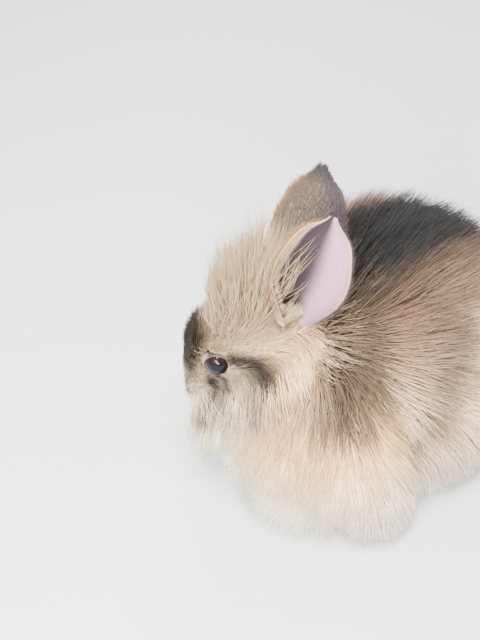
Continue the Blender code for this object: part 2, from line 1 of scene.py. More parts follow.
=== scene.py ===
# %% [markdown]
# # A long-maned dwarf rabbit for a museum case
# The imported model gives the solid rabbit: its size, its pose and how far its coat reaches.
# This script dresses it. It makes one continuous skin under the coat, sets lids, eyes and ears in it,
# and then grows the coat over the skin as thousands of thin mesh tufts, the way a taxidermist's coat lies.

# %% Load the frame
import math

import bmesh
import bpy
import numpy as np
from mathutils import Matrix, Vector, kdtree
from mathutils.bvhtree import BVHTree


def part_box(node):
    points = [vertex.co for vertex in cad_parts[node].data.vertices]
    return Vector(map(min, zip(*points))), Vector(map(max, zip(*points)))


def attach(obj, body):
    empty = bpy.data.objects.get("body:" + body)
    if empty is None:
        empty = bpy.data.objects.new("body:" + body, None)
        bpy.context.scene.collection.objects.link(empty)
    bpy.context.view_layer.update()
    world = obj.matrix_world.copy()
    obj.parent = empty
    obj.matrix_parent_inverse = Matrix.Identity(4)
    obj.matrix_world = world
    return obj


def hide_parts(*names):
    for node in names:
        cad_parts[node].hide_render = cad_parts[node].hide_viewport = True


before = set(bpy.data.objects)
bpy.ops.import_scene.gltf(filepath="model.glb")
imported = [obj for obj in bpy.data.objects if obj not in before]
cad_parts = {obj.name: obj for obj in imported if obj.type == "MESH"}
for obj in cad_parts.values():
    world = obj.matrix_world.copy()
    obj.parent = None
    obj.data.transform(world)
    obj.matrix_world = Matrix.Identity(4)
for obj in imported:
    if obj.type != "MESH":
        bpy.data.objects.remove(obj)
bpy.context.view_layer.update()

# %% [markdown]
# ## Axes
# The animal is easiest to describe in millimetres, with the middle of its trunk over the origin, and the head
# in axes of its own: ahead along the muzzle, to its left, and up through the crown. Both are tied to the
# frame by the near eye, which is the one small, sharp thing in the photograph that fixes the scale.

# %% Millimetres, head axes and the shift to the frame
MM = 0.001
EYE_HEIGHT = 96.0
HEAD_MIDDLE = np.array((-84.0, 23.0, EYE_HEIGHT))
HEAD_TURN = math.radians(45.0)
HEAD_DROOP = math.radians(36.0)
EYE_RADIUS = 7.8
EYE_SPREAD = 13.0
EYE_RISE = 3.5
UP = np.array((0.0, 0.0, 1.0))
SIDES = {"left": 1, "right": -1}


def unit(vectors):
    """The vectors at length 1."""
    size = np.linalg.norm(vectors, axis=-1, keepdims=True)
    return vectors / np.maximum(size, 1e-9)


ahead = np.array((-math.cos(HEAD_TURN) * math.cos(HEAD_DROOP), math.sin(HEAD_TURN) * math.cos(HEAD_DROOP),
                  -math.sin(HEAD_DROOP)))
leftward = np.array((-math.sin(HEAD_TURN), -math.cos(HEAD_TURN), 0.0))
HEAD_AXES = np.array((ahead, leftward, np.cross(ahead, leftward)))


def from_head(points):
    """Points in head axes, turned into the model's millimetres."""
    return np.asarray(points, float) @ HEAD_AXES + HEAD_MIDDLE


def to_head(points):
    """Points in the model's millimetres, turned into head axes."""
    return (np.asarray(points, float) - HEAD_MIDDLE) @ HEAD_AXES.T


def eye_middle(side):
    return np.array((0.0, side * EYE_SPREAD, EYE_RISE))


eye_low, eye_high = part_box("eye_left")
SHIFT = np.array((eye_low + eye_high) / 2) - from_head(eye_middle(1)) * MM


def to_frame(points):
    """The model's millimetres as the frame's metres."""
    return np.asarray(points, float) * MM + SHIFT


print("shift of the model's middle, mm:", np.round(SHIFT / MM, 2))

# %% [markdown]
# ## Camera
# The photograph looks down on the rabbit from its left front. The camera stands the same way, and its place
# is worked out backwards from the near eye: where the eye sits in the picture and how far off it is.

# %% Camera at the photograph's angle
PICTURE = (480, 640)
FOCAL_PIXELS = 903.7
EYE_PIXEL = (217, 370)
EYE_DISTANCE = 0.44
CAMERA_AZIMUTH = math.radians(-40.0)
CAMERA_HEIGHT = math.radians(40.0)
SENSOR = 36.0

back = np.array((math.sin(CAMERA_AZIMUTH) * math.cos(CAMERA_HEIGHT),
                 -math.cos(CAMERA_AZIMUTH) * math.cos(CAMERA_HEIGHT), math.sin(CAMERA_HEIGHT)))
right = np.array((math.cos(CAMERA_AZIMUTH), math.sin(CAMERA_AZIMUTH), 0.0))
up = np.cross(back, right)
near_eye = to_frame(from_head(eye_middle(1) + np.array((0.0, EYE_RADIUS, 0.0))))
step_right = (EYE_PIXEL[0] - PICTURE[0] / 2) / FOCAL_PIXELS
step_down = (EYE_PIXEL[1] - PICTURE[1] / 2) / FOCAL_PIXELS
camera_place = near_eye - EYE_DISTANCE * (-back + right * step_right - up * step_down)


def shown(name, data):
    """An object with this data, in the scene."""
    made = bpy.data.objects.new(name, data)
    bpy.context.scene.collection.objects.link(made)
    return made


camera_data = bpy.data.cameras.new("camera")
camera_data.sensor_width = SENSOR
camera_data.lens = SENSOR * FOCAL_PIXELS / PICTURE[1]
camera = shown("camera", camera_data)
camera.matrix_world = Matrix((right, up, back)).transposed().to_4x4()
camera.location = camera_place
bpy.context.scene.camera = camera
print("camera at", np.round(camera_place, 3), "lens", round(camera_data.lens, 2))

# %% [markdown]
# ## The flesh under the coat
# Each muscle mass is a rounded form along a bent line of stations. Every station gives a centre, a half
# width, a rise above the line and a fall below it. Like forms make the solids; here they are finer, and a
# voxel remesh melts them into one skin, so no seam shows between head, neck, trunk and legs.


# %% Rounded masses along bent lines
def between(values, u):
    """The value at u, from 0 to 1, on a smooth curve through evenly spaced values."""
    spans = len(values) - 1
    i = min(int(u * spans), spans - 1)
    t = u * spans - i
    before, a, b, after = (values[max(0, min(spans, i + k))] for k in (-1, 0, 1, 2))
    bend = (2 * before - 5 * a + 4 * b - after) + t * (3 * (a - b) + after - before)
    return a + 0.5 * t * ((b - before) + t * bend)


def neighbours(sides):
    """Each place on a ring with the next one."""
    return [(k, (k + 1) % sides) for k in range(sides)]


def band(low, high, sides):
    """The quads between two rings of points that start at low and at high."""
    return [(low + a, low + b, high + b, high + a) for a, b in neighbours(sides)]


def mass(*stations, sides=28, rings=22, dome=2.5, square=1.0, grow=0.0):
    """Points and faces of a closed rounded form through the stations."""
    centres = [np.array(station[0], float) for station in stations]
    sizes = [np.array(station[1:4], float) + grow for station in stations]

    def frame_at(u):
        way = unit(between(centres, min(1, u + 0.02)) - between(centres, max(0, u - 0.02)))
        return way, unit(np.cross(way, (0.0, 1.0, 0.0)))

    middle_up = frame_at(0.5)[1]
    sign = -1 if middle_up[2] < -0.2 or (abs(middle_up[2]) <= 0.2 and middle_up[0] > 0) else 1
    angles = np.arange(sides) * math.tau / sides
    cos, sin = np.cos(angles), np.sin(angles)
    power = np.where(sin > 0, 1.0, square)
    wide = np.sign(cos) * np.abs(cos) ** power
    tall = np.sign(sin) * np.abs(sin) ** power
    loops = [between(centres, 0)[None]]
    for ring in range(1, rings):
        u = 0.5 - 0.5 * math.cos(math.pi * ring / rings)
        way, high = frame_at(u)
        high = high * sign
        across = np.cross(high, way)
        width, rise, fall = between(sizes, u)
        round_off = max(0.0, 1 - abs(2 * u - 1) ** dome) ** (1 / dome)
        tallness = np.where(sin > 0, rise, fall) * round_off
        loops.append(between(centres, u) + np.outer(wide * width * round_off, across)
                     + np.outer(tall * tallness, high))
    loops.append(between(centres, 1)[None])
    points = np.vstack(loops)
    last = len(points) - 1
    faces = [(0, 1 + b, 1 + a) for a, b in neighbours(sides)]
    for ring in range(rings - 2):
        faces += band(1 + ring * sides, 1 + (ring + 1) * sides, sides)
    end = 1 + (rings - 2) * sides
    faces += [(last, end + a, end + b) for a, b in neighbours(sides)]
    return points, faces


def head_mass(*stations, **options):
    points, faces = mass(*stations, **options)
    return from_head(points), faces


# %% The masses of each region
FACE_SHRINK = -0.8
TOE_FAN = 1.15
HIND_TOES = {"middle": 50, "lag": 0.6, "spreads": (-6.6, -2.2, 2.2, 6.6)}
FORE_TOES = {"middle": 22, "lag": 0.5, "spreads": (-4.8, -1.6, 1.6, 4.8)}


def toe_tip(toes, spread, x, z, y):
    """The end of a toe that stands this far from the foot's middle line, on the side that y gives."""
    return x + abs(spread) * toes["lag"], (toes["middle"] + spread * TOE_FAN) * y, z


def trunk():
    return [mass(((-52, 0, 62), 22, 30, 32), ((-27, 0, 68), 39, 45, 42), ((2, 0, 71), 51, 50, 46),
                 ((32, 0, 66), 50, 47, 44), ((56, 0, 54), 34, 34, 32), sides=64, rings=48, square=0.65)]


def neck():
    return [mass(((-46, -5, 108), 14, 10, 8), ((-48, -8, 90), 24, 14, 11), ((-53, -8, 66), 33, 19, 15),
                 ((-57, -6, 42), 35, 20, 17), ((-60, -4, 22), 28, 19, 16), sides=48, rings=40)]


def skull():
    shrink = {"grow": FACE_SHRINK}
    forms = [
        head_mass(((31, 0, -10), 9, 8, 8.5), ((22, 0, -9.5), 13, 15.5, 15.5), ((9, 0, -6.5), 17, 19.5, 20.5),
                  ((-6, 0, -4.5), 20.5, 22.5, 23), ((-20, 0, -3.5), 23, 23.5, 24),
                  ((-33, 0, -2), 23.5, 21.5, 22), ((-44, 0, -1), 17, 14, 14), sides=56, rings=44, **shrink),
        head_mass(((25, 0, -19.5), 6, 4.5, 4), ((14, 0, -22), 7.5, 5, 5), ((3, 0, -23), 7, 5, 5), **shrink),
    ]
    for side in SIDES.values():
        forms.append(head_mass(((31.5, 3 * side, -11.5), 5, 5, 6), ((23.5, 6.5 * side, -12), 6.5, 7, 7.5),
                               ((10, 10 * side, -13.5), 5, 5, 6), **shrink))
        forms.append(head_mass(((12, 11 * side, -12), 6, 8, 8.5), ((-5, 16 * side, -10.5), 8, 11.5, 12.5),
                               ((-26, 17 * side, -9), 7, 11, 11), **shrink))
        lid = eye_middle(side)
        reach = EYE_RADIUS * 0.9
        forms.append(head_mass((lid - (reach, 0, 0), 7.2, 7.2, 7.2), (lid, 8.2, 8.2, 8.2),
                               (lid + (reach, 0, 0), 7.2, 7.2, 7.2), dome=2.0))
    return forms


def tail():
    return [mass(((66, 0, 44), 7, 7, 7), ((82, 0, 52), 8, 8, 8), ((90, 0, 66), 6, 6, 6))]


def hind_leg(y):
    return [mass(((44, 40 * y, 66), 14, 26, 26), ((15.5, 52 * y, 41), 17, 34, 32),
                 ((-12, 53 * y, 26.5), 13, 20, 20), sides=40, rings=30)]


def hind_foot(y):
    forms = [mass(((48, 49 * y, 9), 7.5, 7, 8), ((20, 51 * y, 9), 8.5, 7.5, 8),
                  ((-22, 50 * y, 8.5), 9, 6.5, 8), ((-40, 50 * y, 8), 9, 6, 7), grow=-0.6)]
    for spread in HIND_TOES["spreads"]:
        forms.append(mass(((-26, (50 + spread) * y, 5.6), 3.2, 4, 5),
                          (toe_tip(HIND_TOES, spread, -44, 4.8, y), 3, 3.4, 4.6), sides=16, rings=12))
    return forms


def fore_leg(y):
    return [mass(((-48, 36 * y, 60), 9, 12, 12), ((-49, 50 * y, 37), 13, 16, 16),
                 ((-49, 57 * y, 17), 13, 13, 13), sides=36, rings=26)]


def fore_foot(y):
    forms = [mass(((-34, 40 * y, 22), 7.5, 7.5, 8), ((-52, 32 * y, 12), 6.5, 6.5, 7),
                  ((-70, 24 * y, 7), 7, 5.5, 7), ((-80, 22 * y, 6), 7, 5, 6), grow=-0.4)]
    for spread in FORE_TOES["spreads"]:
        forms.append(mass(((-70, (22.5 + spread) * y, 5), 2.6, 3.4, 4.6),
                          (toe_tip(FORE_TOES, spread, -84, 4.2, y), 2.5, 3, 4.2), sides=16, rings=12))
    return forms


def both(limb):
    return limb(1) + limb(-1)


REGIONS = {"trunk": trunk(), "neck": neck(), "head": skull(), "tail": tail(), "thigh": both(hind_leg),
           "hind_foot": both(hind_foot), "elbow": both(fore_leg), "fore_foot": both(fore_foot)}
REGION_NAMES = list(REGIONS)
print("masses", sum(len(forms) for forms in REGIONS.values()))

# %% [markdown]
# ## One skin
# Remeshing at a millimetre and a half fuses the masses, as flesh does under a hide. A few rounds of
# averaging with the neighbours round the hollows where they meet. The front of the head is split once more,
# for lips and nostrils.

# %% Remesh the masses into one skin
SKIN_VOXEL = 1.6
SOLE_LEVEL = 1.2
MELT_ROUNDS = 6
FACE_ROUNDS = 2
REGION_ROUNDS = 14


def plain_mesh(name, points, faces):
    made = bpy.data.meshes.new(name)
    made.from_pydata(np.asarray(points).tolist(), [], [list(face) for face in faces])
    return made


def joined(forms):
    """The points and the faces of several forms, as one list of each."""
    faces, count = [], 0
    for points, form_faces in forms:
        faces += [tuple(i + count for i in face) for face in form_faces]
        count += len(points)
    return np.vstack([points for points, _ in forms]), faces


def remeshed(forms, voxel):
    """One closed mesh in place of many overlapping ones."""
    obj = shown("masses", plain_mesh("masses", *joined(forms)))
    union = obj.modifiers.new("union", "REMESH")
    union.mode = "VOXEL"
    union.voxel_size = voxel
    made = bpy.data.meshes.new_from_object(obj.evaluated_get(bpy.context.evaluated_depsgraph_get()))
    bpy.data.objects.remove(obj)
    return made


def soften(values, edges, rounds, share=0.5):
    """Averages each row with its neighbours along the edges."""
    count = np.bincount(edges.ravel(), minlength=len(values)).astype(float)
    for _ in range(rounds):
        total = np.empty_like(values)
        for column in range(values.shape[1]):
            one = np.bincount(edges[:, 0], values[edges[:, 1], column], len(values))
            total[:, column] = one + np.bincount(edges[:, 1], values[edges[:, 0], column], len(values))
        values = values * (1 - share) + total / count[:, None] * share
    return values


def read_all(items, key, width, kind):
    """One value of all the items, as rows."""
    out = np.empty(len(items) * width, kind)
    items.foreach_get(key, out)
    return out.reshape(-1, width)


def points_of(mesh):
    return read_all(mesh.vertices, "co", 3, np.float32).astype(float)


def edges_of(mesh):
    return read_all(mesh.edges, "vertices", 2, np.int32)


def triangles_of(mesh):
    mesh.calc_loop_triangles()
    return read_all(mesh.loop_triangles, "vertices", 3, np.int32)


all_forms = [form for forms in REGIONS.values() for form in forms]
melted = remeshed(all_forms, SKIN_VOXEL)
melted.vertices.foreach_set("co", soften(points_of(melted), edges_of(melted), MELT_ROUNDS).ravel())

FACE_FRONT = -9.0
work = bmesh.new()
work.from_mesh(melted)
in_face = to_head(points_of(melted))[:, 0] > FACE_FRONT
work.verts.ensure_lookup_table()
face_edges = [edge for edge in work.edges if in_face[edge.verts[0].index] and in_face[edge.verts[1].index]]
bmesh.ops.subdivide_edges(work, edges=face_edges, cuts=1, use_grid_fill=True)
bmesh.ops.triangulate(work, faces=work.faces)
bmesh.ops.recalc_face_normals(work, faces=work.faces)
work.to_mesh(melted)
work.free()
skin_edges = edges_of(melted)
skin_tris = triangles_of(melted)
skin_points = soften(points_of(melted), skin_edges, FACE_ROUNDS)
print("skin", len(skin_points), "points", len(skin_tris), "triangles")


# %% Which region each point of the skin belongs to
def smooth_step(values, low, high):
    t = np.clip((np.asarray(values, float) - low) / (high - low), 0, 1)
    return t * t * (3 - 2 * t)


def normals_of(points, tris):
    """The normal at each point, from the faces round it."""
    corners = points[tris]
    flat = np.cross(corners[:, 1] - corners[:, 0], corners[:, 2] - corners[:, 0])
    out = np.zeros_like(points)
    for corner in range(3):
        for axis in range(3):
            out[:, axis] += np.bincount(tris[:, corner], flat[:, axis], len(points))
    return unit(out)


owners = np.concatenate([np.full(len(points), number) for number, name in enumerate(REGION_NAMES)
                         for points, _ in REGIONS[name]])
form_points = np.vstack([points for forms in REGIONS.values() for points, _ in forms])
finder = kdtree.KDTree(len(form_points))
for index, point in enumerate(form_points):
    finder.insert(point, index)
finder.balance()
nearest_form = np.array([finder.find(point)[1] for point in skin_points])
membership = np.zeros((len(skin_points), len(REGION_NAMES)))
membership[np.arange(len(skin_points)), owners[nearest_form]] = 1.0
membership = soften(membership, skin_edges, REGION_ROUNDS)
share_of = {name: membership[:, number] for number, name in enumerate(REGION_NAMES)}
skin_normals = normals_of(skin_points, skin_tris)
print("region shares", {name: round(float(share.mean()), 3) for name, share in share_of.items()})

# %% [markdown]
# ## The face
# A rabbit's eye is a large, nearly round globe set in the side of the head. The skin is pushed in where the
# lids part, so the globe shows with a wet rim round it. The nostrils are two slits in a Y with the cleft of
# the lip, and the mouth is a short line under them. They are grooves pressed into the skin along short lines.

# %% Lids, nostrils and mouth pressed into the skin
LID_SLANT = math.radians(22.0)
GLOBE_HALF = (6.4, 6.2)
LID_THIN = 0.7
LID_WIDE = 3.0
LID_WIDEST = math.radians(8.0)
# A nostril, the mouth and the cleft: points in head axes on the left side, half width and depth
NOSTRIL = (((34, 1, -9.3), (32.8, 2.8, -8.1), (31, 4.6, -6.3)), 0.8, 1.6)
MOUTH = (((29.8, 0, -19.2), (26.6, 4, -19.9), (20.5, 9.4, -20.5), (13.5, 13.4, -20.8)), 0.8, 1.5)
CLEFT = (((34, 0, -11), (32.2, 0, -15.2), (29.8, 0, -19.2)), 0.7, 1.3)
GLOBE_SUNK = 1.6
GLOBE_NEAR = 5.0


def eye_axes(side):
    """The way the globe looks out, the line between its corners, and the way across that line."""
    out = unit(np.array((0.08, side, 0.0)))
    level = np.array((math.cos(LID_SLANT), 0.0, math.sin(LID_SLANT)))
    level = unit(level - out * level.dot(out))
    return out, level, np.cross(level, out) * side


def bare_lid(angle):
    """How far the bare lid shows outside the globe's edge: a thin line behind, a pink corner in front."""
    return LID_THIN + LID_WIDE * np.maximum(0, np.cos(angle - LID_WIDEST)) ** 2.5


def in_lids(head_points, side):
    """Below 1 inside the lids' outer edge, and above 1 outside it."""
    out, level, high = eye_axes(side)
    offset = head_points - eye_middle(side)
    along_lids = offset @ level / GLOBE_HALF[0]
    across_lids = offset @ high / GLOBE_HALF[1]
    edge = 1 + bare_lid(np.arctan2(across_lids, along_lids)) / GLOBE_HALF[1]
    return np.where(offset @ out > 0, np.hypot(along_lids, across_lids) / edge, 9.0)


def distance_to_line(points, line):
    """How far each point is from a bent line."""
    line = np.asarray(line, float)
    best = np.full(len(points), 1e9)
    for a, b in zip(line, line[1:]):
        way = b - a
        t = np.clip((points - a) @ way / way.dot(way), 0, 1)
        best = np.minimum(best, np.linalg.norm(points - a - t[:, None] * way, axis=1))
    return best


def press(head_points, line, half_width, depth):
    """Pushes the skin in where it lies close to the line."""
    share = np.exp(-(distance_to_line(head_points, line) / half_width) ** 2)
    return head_points - skin_head_normals * (share * depth)[:, None]


head_points = to_head(skin_points)
skin_head_normals = skin_normals @ HEAD_AXES.T
for side in SIDES.values():
    centre = eye_middle(side)
    offset = head_points - centre
    reach = np.linalg.norm(offset, axis=1)
    opening = in_lids(head_points, side)
    sunk = (opening < 1.0) & (reach < EYE_RADIUS + GLOBE_NEAR)
    head_points[sunk] = centre + offset[sunk] / reach[sunk, None] * (EYE_RADIUS - GLOBE_SUNK)
    for line, half_width, depth in (NOSTRIL, MOUTH):
        head_points = press(head_points, np.array(line) * (1, side, 1), half_width, depth)
head_points = press(head_points, *CLEFT)
skin_points = np.where(share_of["head"][:, None] > 0.5, from_head(head_points), skin_points)
skin_points[:, 2] = np.maximum(skin_points[:, 2], SOLE_LEVEL)
skin_normals = normals_of(skin_points, skin_tris)
skin_tree = BVHTree.FromPolygons(skin_points.tolist(), skin_tris.tolist())
in_opening = sum((in_lids(to_head(skin_points), side) < 1).sum() for side in SIDES.values())
print("points in the eye openings", int(in_opening))

# %% [markdown]
# ## Markings and painted shade
# The coat is cream and tan with a dark line behind the eye, grey stripes below it, a dark patch on the
# forehead and a dark brown back over a rusty flank. The back is painted near black: its own dark fur with
# painted shade over it. A painted shadow lies along the rear edge of the ruff and on the shoulder behind it.
# Each mark is a soft blob in head or body axes, so the skin, the coat and every view share one pattern.
# Colours are given as a painter would read them, and made linear.


# %% Colours of the coat by place
def paint(red, green, blue):
    """A colour as seen on a screen, from 0 to 255, made linear."""
    values = np.array((red, green, blue)) / 255
    return np.where(values <= 0.04045, values / 12.92, ((values + 0.055) / 1.055) ** 2.4)


CREAM = paint(254, 230, 194)
PEACH = paint(254, 202, 144)
WHITE = paint(254, 244, 228)
CROWN = paint(130, 113, 87)
TAN = paint(164, 136, 102)
MUZZLE = paint(164, 148, 120)
RUST = paint(150, 116, 88)
# The back's colour: dark brown fur, painted near black to add the deep shade that lies on it.
DARK_BACK_AND_SHADE = paint(12, 11, 10)
FLANK = paint(246, 214, 174)
BELLY = paint(214, 201, 188)
SHADOW = paint(58, 42, 32)
GREY_MARK = paint(24, 21, 19)
BROWN_MARK = paint(18, 13, 10)
ASH = paint(92, 82, 75)

# Each mark of the head: centre and radii in head axes, colour and strength
HEAD_MARKS = (
    ((10, 2, 11), (14, 11.5, 11), BROWN_MARK, 0.99),
    ((17, 3, 4), (8, 9.5, 7), BROWN_MARK, 0.92),
    ((6, 18, -6), (9, 8, 6), ASH, 0.75),
    ((6, -18, -6), (9, 8, 6), ASH, 0.75),
    ((-8.5, -6, 19), (3.5, 3.5, 4.0), BROWN_MARK, 0.5),
)
# Each line on both cheeks: its points on the left side, half width and strength
CHEEK_LINES = (
    (((-7, 18.5, 3.5), (-12, 20, 1), (-18, 21, -2.5), (-24, 21, -5)), 3.6, 0.97),
    (((-12, 21, -2), (-17, 22, -8)), 4.0, 0.5),
    (((11, 16, -4), (15, 13, -7.5), (17.5, 11.5, -12)), 3.8, 0.97),
    (((3, 19, -4), (5, 18, -8)), 2.4, 0.8),
)

# Painted shadow: a dark line in the SHADOW colour along the rear edge of the ruff on both sides, where the
# ruff meets the shoulder.
RUFF_SHADE_LINE = ((-49, 11, 106), (-51, 19, 100), (-54, 27, 92))
RUFF_SHADE_WIDTH = 6.0


def gradient(values, stops):
    """Colours read along a list of (value, colour)."""
    places = [stop[0] for stop in stops]
    colours = np.array([stop[1] for stop in stops])
    return np.stack([np.interp(values, places, colours[:, k]) for k in range(3)], axis=1)


def mix(base, over, share):
    return base * (1 - share[:, None]) + over * share[:, None]


def coat_colour(points, shares):
    """The colour of the coat at points of the skin."""
    round_body = np.degrees(np.arctan2(np.abs(points[:, 1]), points[:, 2] - 62))
    # The top of the trunk takes the back's colour, partly dark fur and partly painted shade.
    body = gradient(round_body, ((0, DARK_BACK_AND_SHADE), (14, DARK_BACK_AND_SHADE), (34, RUST), (60, FLANK), (95, FLANK), (120, BELLY)))
    # Painted shade on the shoulder just behind the mane, in the SHADOW colour, where the ruff hangs over it.
    shade_behind_mane = np.exp(-((points[:, 0] + 24 - (points[:, 2] - 70) * 0.12) / 7.5) ** 2)
    shade_behind_mane *= smooth_step(points[:, 2], 40, 62) * smooth_step(-points[:, 2], -118, -96)
    body = mix(body, SHADOW, shade_behind_mane * 0.85)
    mane = gradient(points[:, 2], ((30, WHITE), (55, CREAM), (80, PEACH), (100, TAN)))
    # Painted shadow along the rear edge of the ruff, on both sides.
    for side in SIDES.values():
        gap = distance_to_line(points, np.array(RUFF_SHADE_LINE, float) * (1, side, 1)) / RUFF_SHADE_WIDTH
        mane = mix(mane, SHADOW, 0.95 * np.exp(-gap ** 2.4))
    limbs = gradient(points[:, 2], ((0, WHITE), (35, BELLY), (70, FLANK)))
    at = to_head(points)
    head = gradient(at[:, 2], ((-26, WHITE), (-14, CREAM), (-4, MUZZLE), (8, TAN), (22, CROWN)))
    head = mix(head, MUZZLE, smooth_step(at[:, 0], 16, 24) * 0.8)
    head = mix(head, PEACH, smooth_step(-at[:, 0], 12, 24) * smooth_step(-at[:, 2], -8, 4) * 0.6)
    for centre, radii, colour, strength in HEAD_MARKS:
        gap = np.linalg.norm((at - np.array(centre)) / np.array(radii), axis=1)
        head = mix(head, colour, strength * np.exp(-gap ** 4))
    for side in SIDES.values():
        head = mix(head, GREY_MARK, 0.5 * np.exp(-((in_lids(at, side) - 1.05) / 0.22) ** 2))
        for line, half_width, strength in CHEEK_LINES:
            gap = distance_to_line(at, np.array(line, float) * (1, side, 1)) / half_width
            fade = 1 - 0.2 * smooth_step(-at[:, 2], 2, 18)
            head = mix(head, GREY_MARK, strength * fade * np.exp(-gap ** 2.6))
    limb_share = shares["thigh"] + shares["hind_foot"] + shares["elbow"] + shares["fore_foot"]
    tail_colour = mix(body, FLANK, np.full(len(points), 0.4))
    by_region = ((shares["trunk"], body), (shares["neck"], mane), (shares["head"], head), (limb_share, limbs),
                 (shares["tail"], tail_colour))
    return sum(share[:, None] * colour for share, colour in by_region)


skin_colours = coat_colour(skin_points, share_of)
print("mean colour of the skin", np.round(skin_colours.mean(0), 3))

# %% [markdown]
# ## How the coat lies
# Every point of the skin gets a small table: how long the hair is, how steeply it leaves the skin, how high
# its tips stand, how much it hangs, how wide a tuft is and how closely the tufts are set. The table changes
# gently from the velvet of the face to the mane, and the same goes for the direction that the hair flows.

# %% Length, lift and flow over the skin
# length, lift in degrees, height of the tips, hang, width, tufts per square millimetre, how far it hugs the
# body
LOOKS = {
    "trunk": (44, 36, 33, 0.16, 0.56, 0.92, 0.72),
    "neck": (50, 34, 27, 0.32, 0.54, 1.4, 0.5),
    "head": (6, 24, 2.6, 0.00, 0.42, 3.8, 0.5),
    "tail": (18, 34, 9, 0.00, 0.60, 1.0, 0.5),
    "thigh": (34, 28, 14, 0.30, 0.62, 0.62, 0.5),
    "hind_foot": (7, 20, 3, 0.10, 0.50, 1.0, 0.5),
    "elbow": (34, 30, 17, 0.35, 0.58, 0.9, 0.4),
    "fore_foot": (7, 20, 3, 0.10, 0.50, 1.1, 0.5),
}
BELLY_LOOK = (20, 16, 8, 0.05, 0.80, 0.4, 0.7)
FOREHEAD_LOOK = (17, 52, 12, 0.00, 0.42, 3.4, 0.2)
CROWN_LOOK = (34, 70, 8, -0.20, 0.46, 3.0, 0.0)
CREST_LOOK = (56, 70, 8, -0.20, 0.48, 3.0, 0.0)
CHEEK_LOOK = (40, 30, 8, 0.60, 0.48, 2.2, 0.0)
TEMPLE_LOOK = (9, 20, 2.8, 0.05, 0.42, 3.6, 0.5)
BEARD_LOOK = (32, 30, 7, 0.80, 0.44, 2.8, 0.0)
CHIN_LOOK = (50, 46, 8, 0.66, 0.46, 3.0, 0.0)
COLUMNS = ("length", "lift", "rise", "hang", "width", "density", "hug")
BARE_UNTIL = 1.06

at = to_head(skin_points)
crown_share = smooth_step(at[:, 2], 9, 15) * smooth_step(-at[:, 0], 4, 13)
crown_share *= smooth_step(-np.abs(at[:, 1]), -22, -15)
cheek_share = smooth_step(-at[:, 2], -2, 7) * smooth_step(-at[:, 0], -10, 4)
forehead_share = smooth_step(at[:, 2], 3, 11) * smooth_step(-at[:, 0], -25, -13)
for side in SIDES.values():
    forehead_share = forehead_share * smooth_step(np.linalg.norm(at - eye_middle(side), axis=1), 9.5, 15)
temple_share = smooth_step(-at[:, 0], 0, 14) * smooth_step(-at[:, 2], -15, -9)
beard_share = smooth_step(-at[:, 2], 4, 11) * smooth_step(-at[:, 0], -33, -19)
chin_share = smooth_step(-at[:, 2], 13, 20) * smooth_step(-at[:, 0], -35, -22)
crest_share = crown_share * smooth_step(-at[:, 0], 10, 32)
looks = np.zeros((len(skin_points), len(COLUMNS)))
for name, share in share_of.items():
    rows = np.repeat(np.array(LOOKS[name])[None], len(skin_points), axis=0)
    if name == "trunk":
        rows = mix(rows, np.array(BELLY_LOOK), smooth_step(-skin_normals[:, 2], 0.25, 0.6))
    if name == "head":
        for over, part in ((FOREHEAD_LOOK, forehead_share), (TEMPLE_LOOK, temple_share),
                           (BEARD_LOOK, beard_share), (CHIN_LOOK, chin_share), (CHEEK_LOOK, cheek_share),
                           (CROWN_LOOK, crown_share), (CREST_LOOK, crest_share)):
            rows = mix(rows, np.array(over), part)
    looks += rows * share[:, None]
for side in SIDES.values():
    looks[:, COLUMNS.index("density")] *= (in_lids(at, side) > BARE_UNTIL)
look = {column: looks[:, k] for k, column in enumerate(COLUMNS)}

NOSE = np.array((38.0, 0.0, -8.5))
CREST_MIDDLE = np.array((-78.0, 20.0, 118.0))
CREST_SPREAD = 90.0
steep = smooth_step(-skin_points[:, 2], -118, -70) * 0.6 + smooth_step(-skin_points[:, 2], -70, -30) * 1.2
upper_neck = smooth_step(skin_points[:, 2], 88, 112)[:, None]
flows = {
    "trunk": np.stack([np.full(len(at), 1.0), np.zeros(len(at)), -steep], axis=1),
    "neck": np.array((0.12, 0.0, -1.0)) + upper_neck * np.array((0.75, 0, 0.65)),
}
for name, way in (("tail", (0.4, 0.0, 1.0)), ("thigh", (0.8, 0.0, -1.0)), ("hind_foot", (-0.6, 0.0, -0.6)),
                  ("elbow", (0.1, 0.0, -1.0)), ("fore_foot", (-0.7, 0.0, -0.5))):
    flows[name] = np.tile(way, (len(at), 1))
face_flow = unit(at - NOSE) @ HEAD_AXES
fan = unit(UP + (skin_points - CREST_MIDDLE) * np.array((1, 1, 0)) / CREST_SPREAD)
cheek_flow = unit(np.array((0.08, 0.0, -1.0)) + skin_normals * np.array((0.2, 0.2, 0)))
beard_flow = unit(np.array((-0.24, 0.18, -1.0)) + skin_normals * np.array((0.15, 0.15, 0)))
hanging = mix(beard_flow, cheek_flow, cheek_share)
hanging_share = np.maximum(np.maximum(beard_share, chin_share), cheek_share)
flows["head"] = mix(mix(face_flow, hanging, hanging_share), fan, crown_share)
flow = unit(sum(unit(flows[name]) * share[:, None] for name, share in share_of.items()))
print("hair lengths from", round(look["length"].min(), 1), "to", round(look["length"].max(), 1), "mm")

# %% [markdown]
# ## Ears
# Each ear is a thin cup, nearly a tube at its root and open towards the tip. The near ear shows its pink
# inside, turning lilac towards the front, with painted shade as a near-black stripe in the deep fold behind
# the front rim. The far one shows its furred back. A closed shell of two curved walls and a round rim gives
# both, and the colours follow the position round the cup.

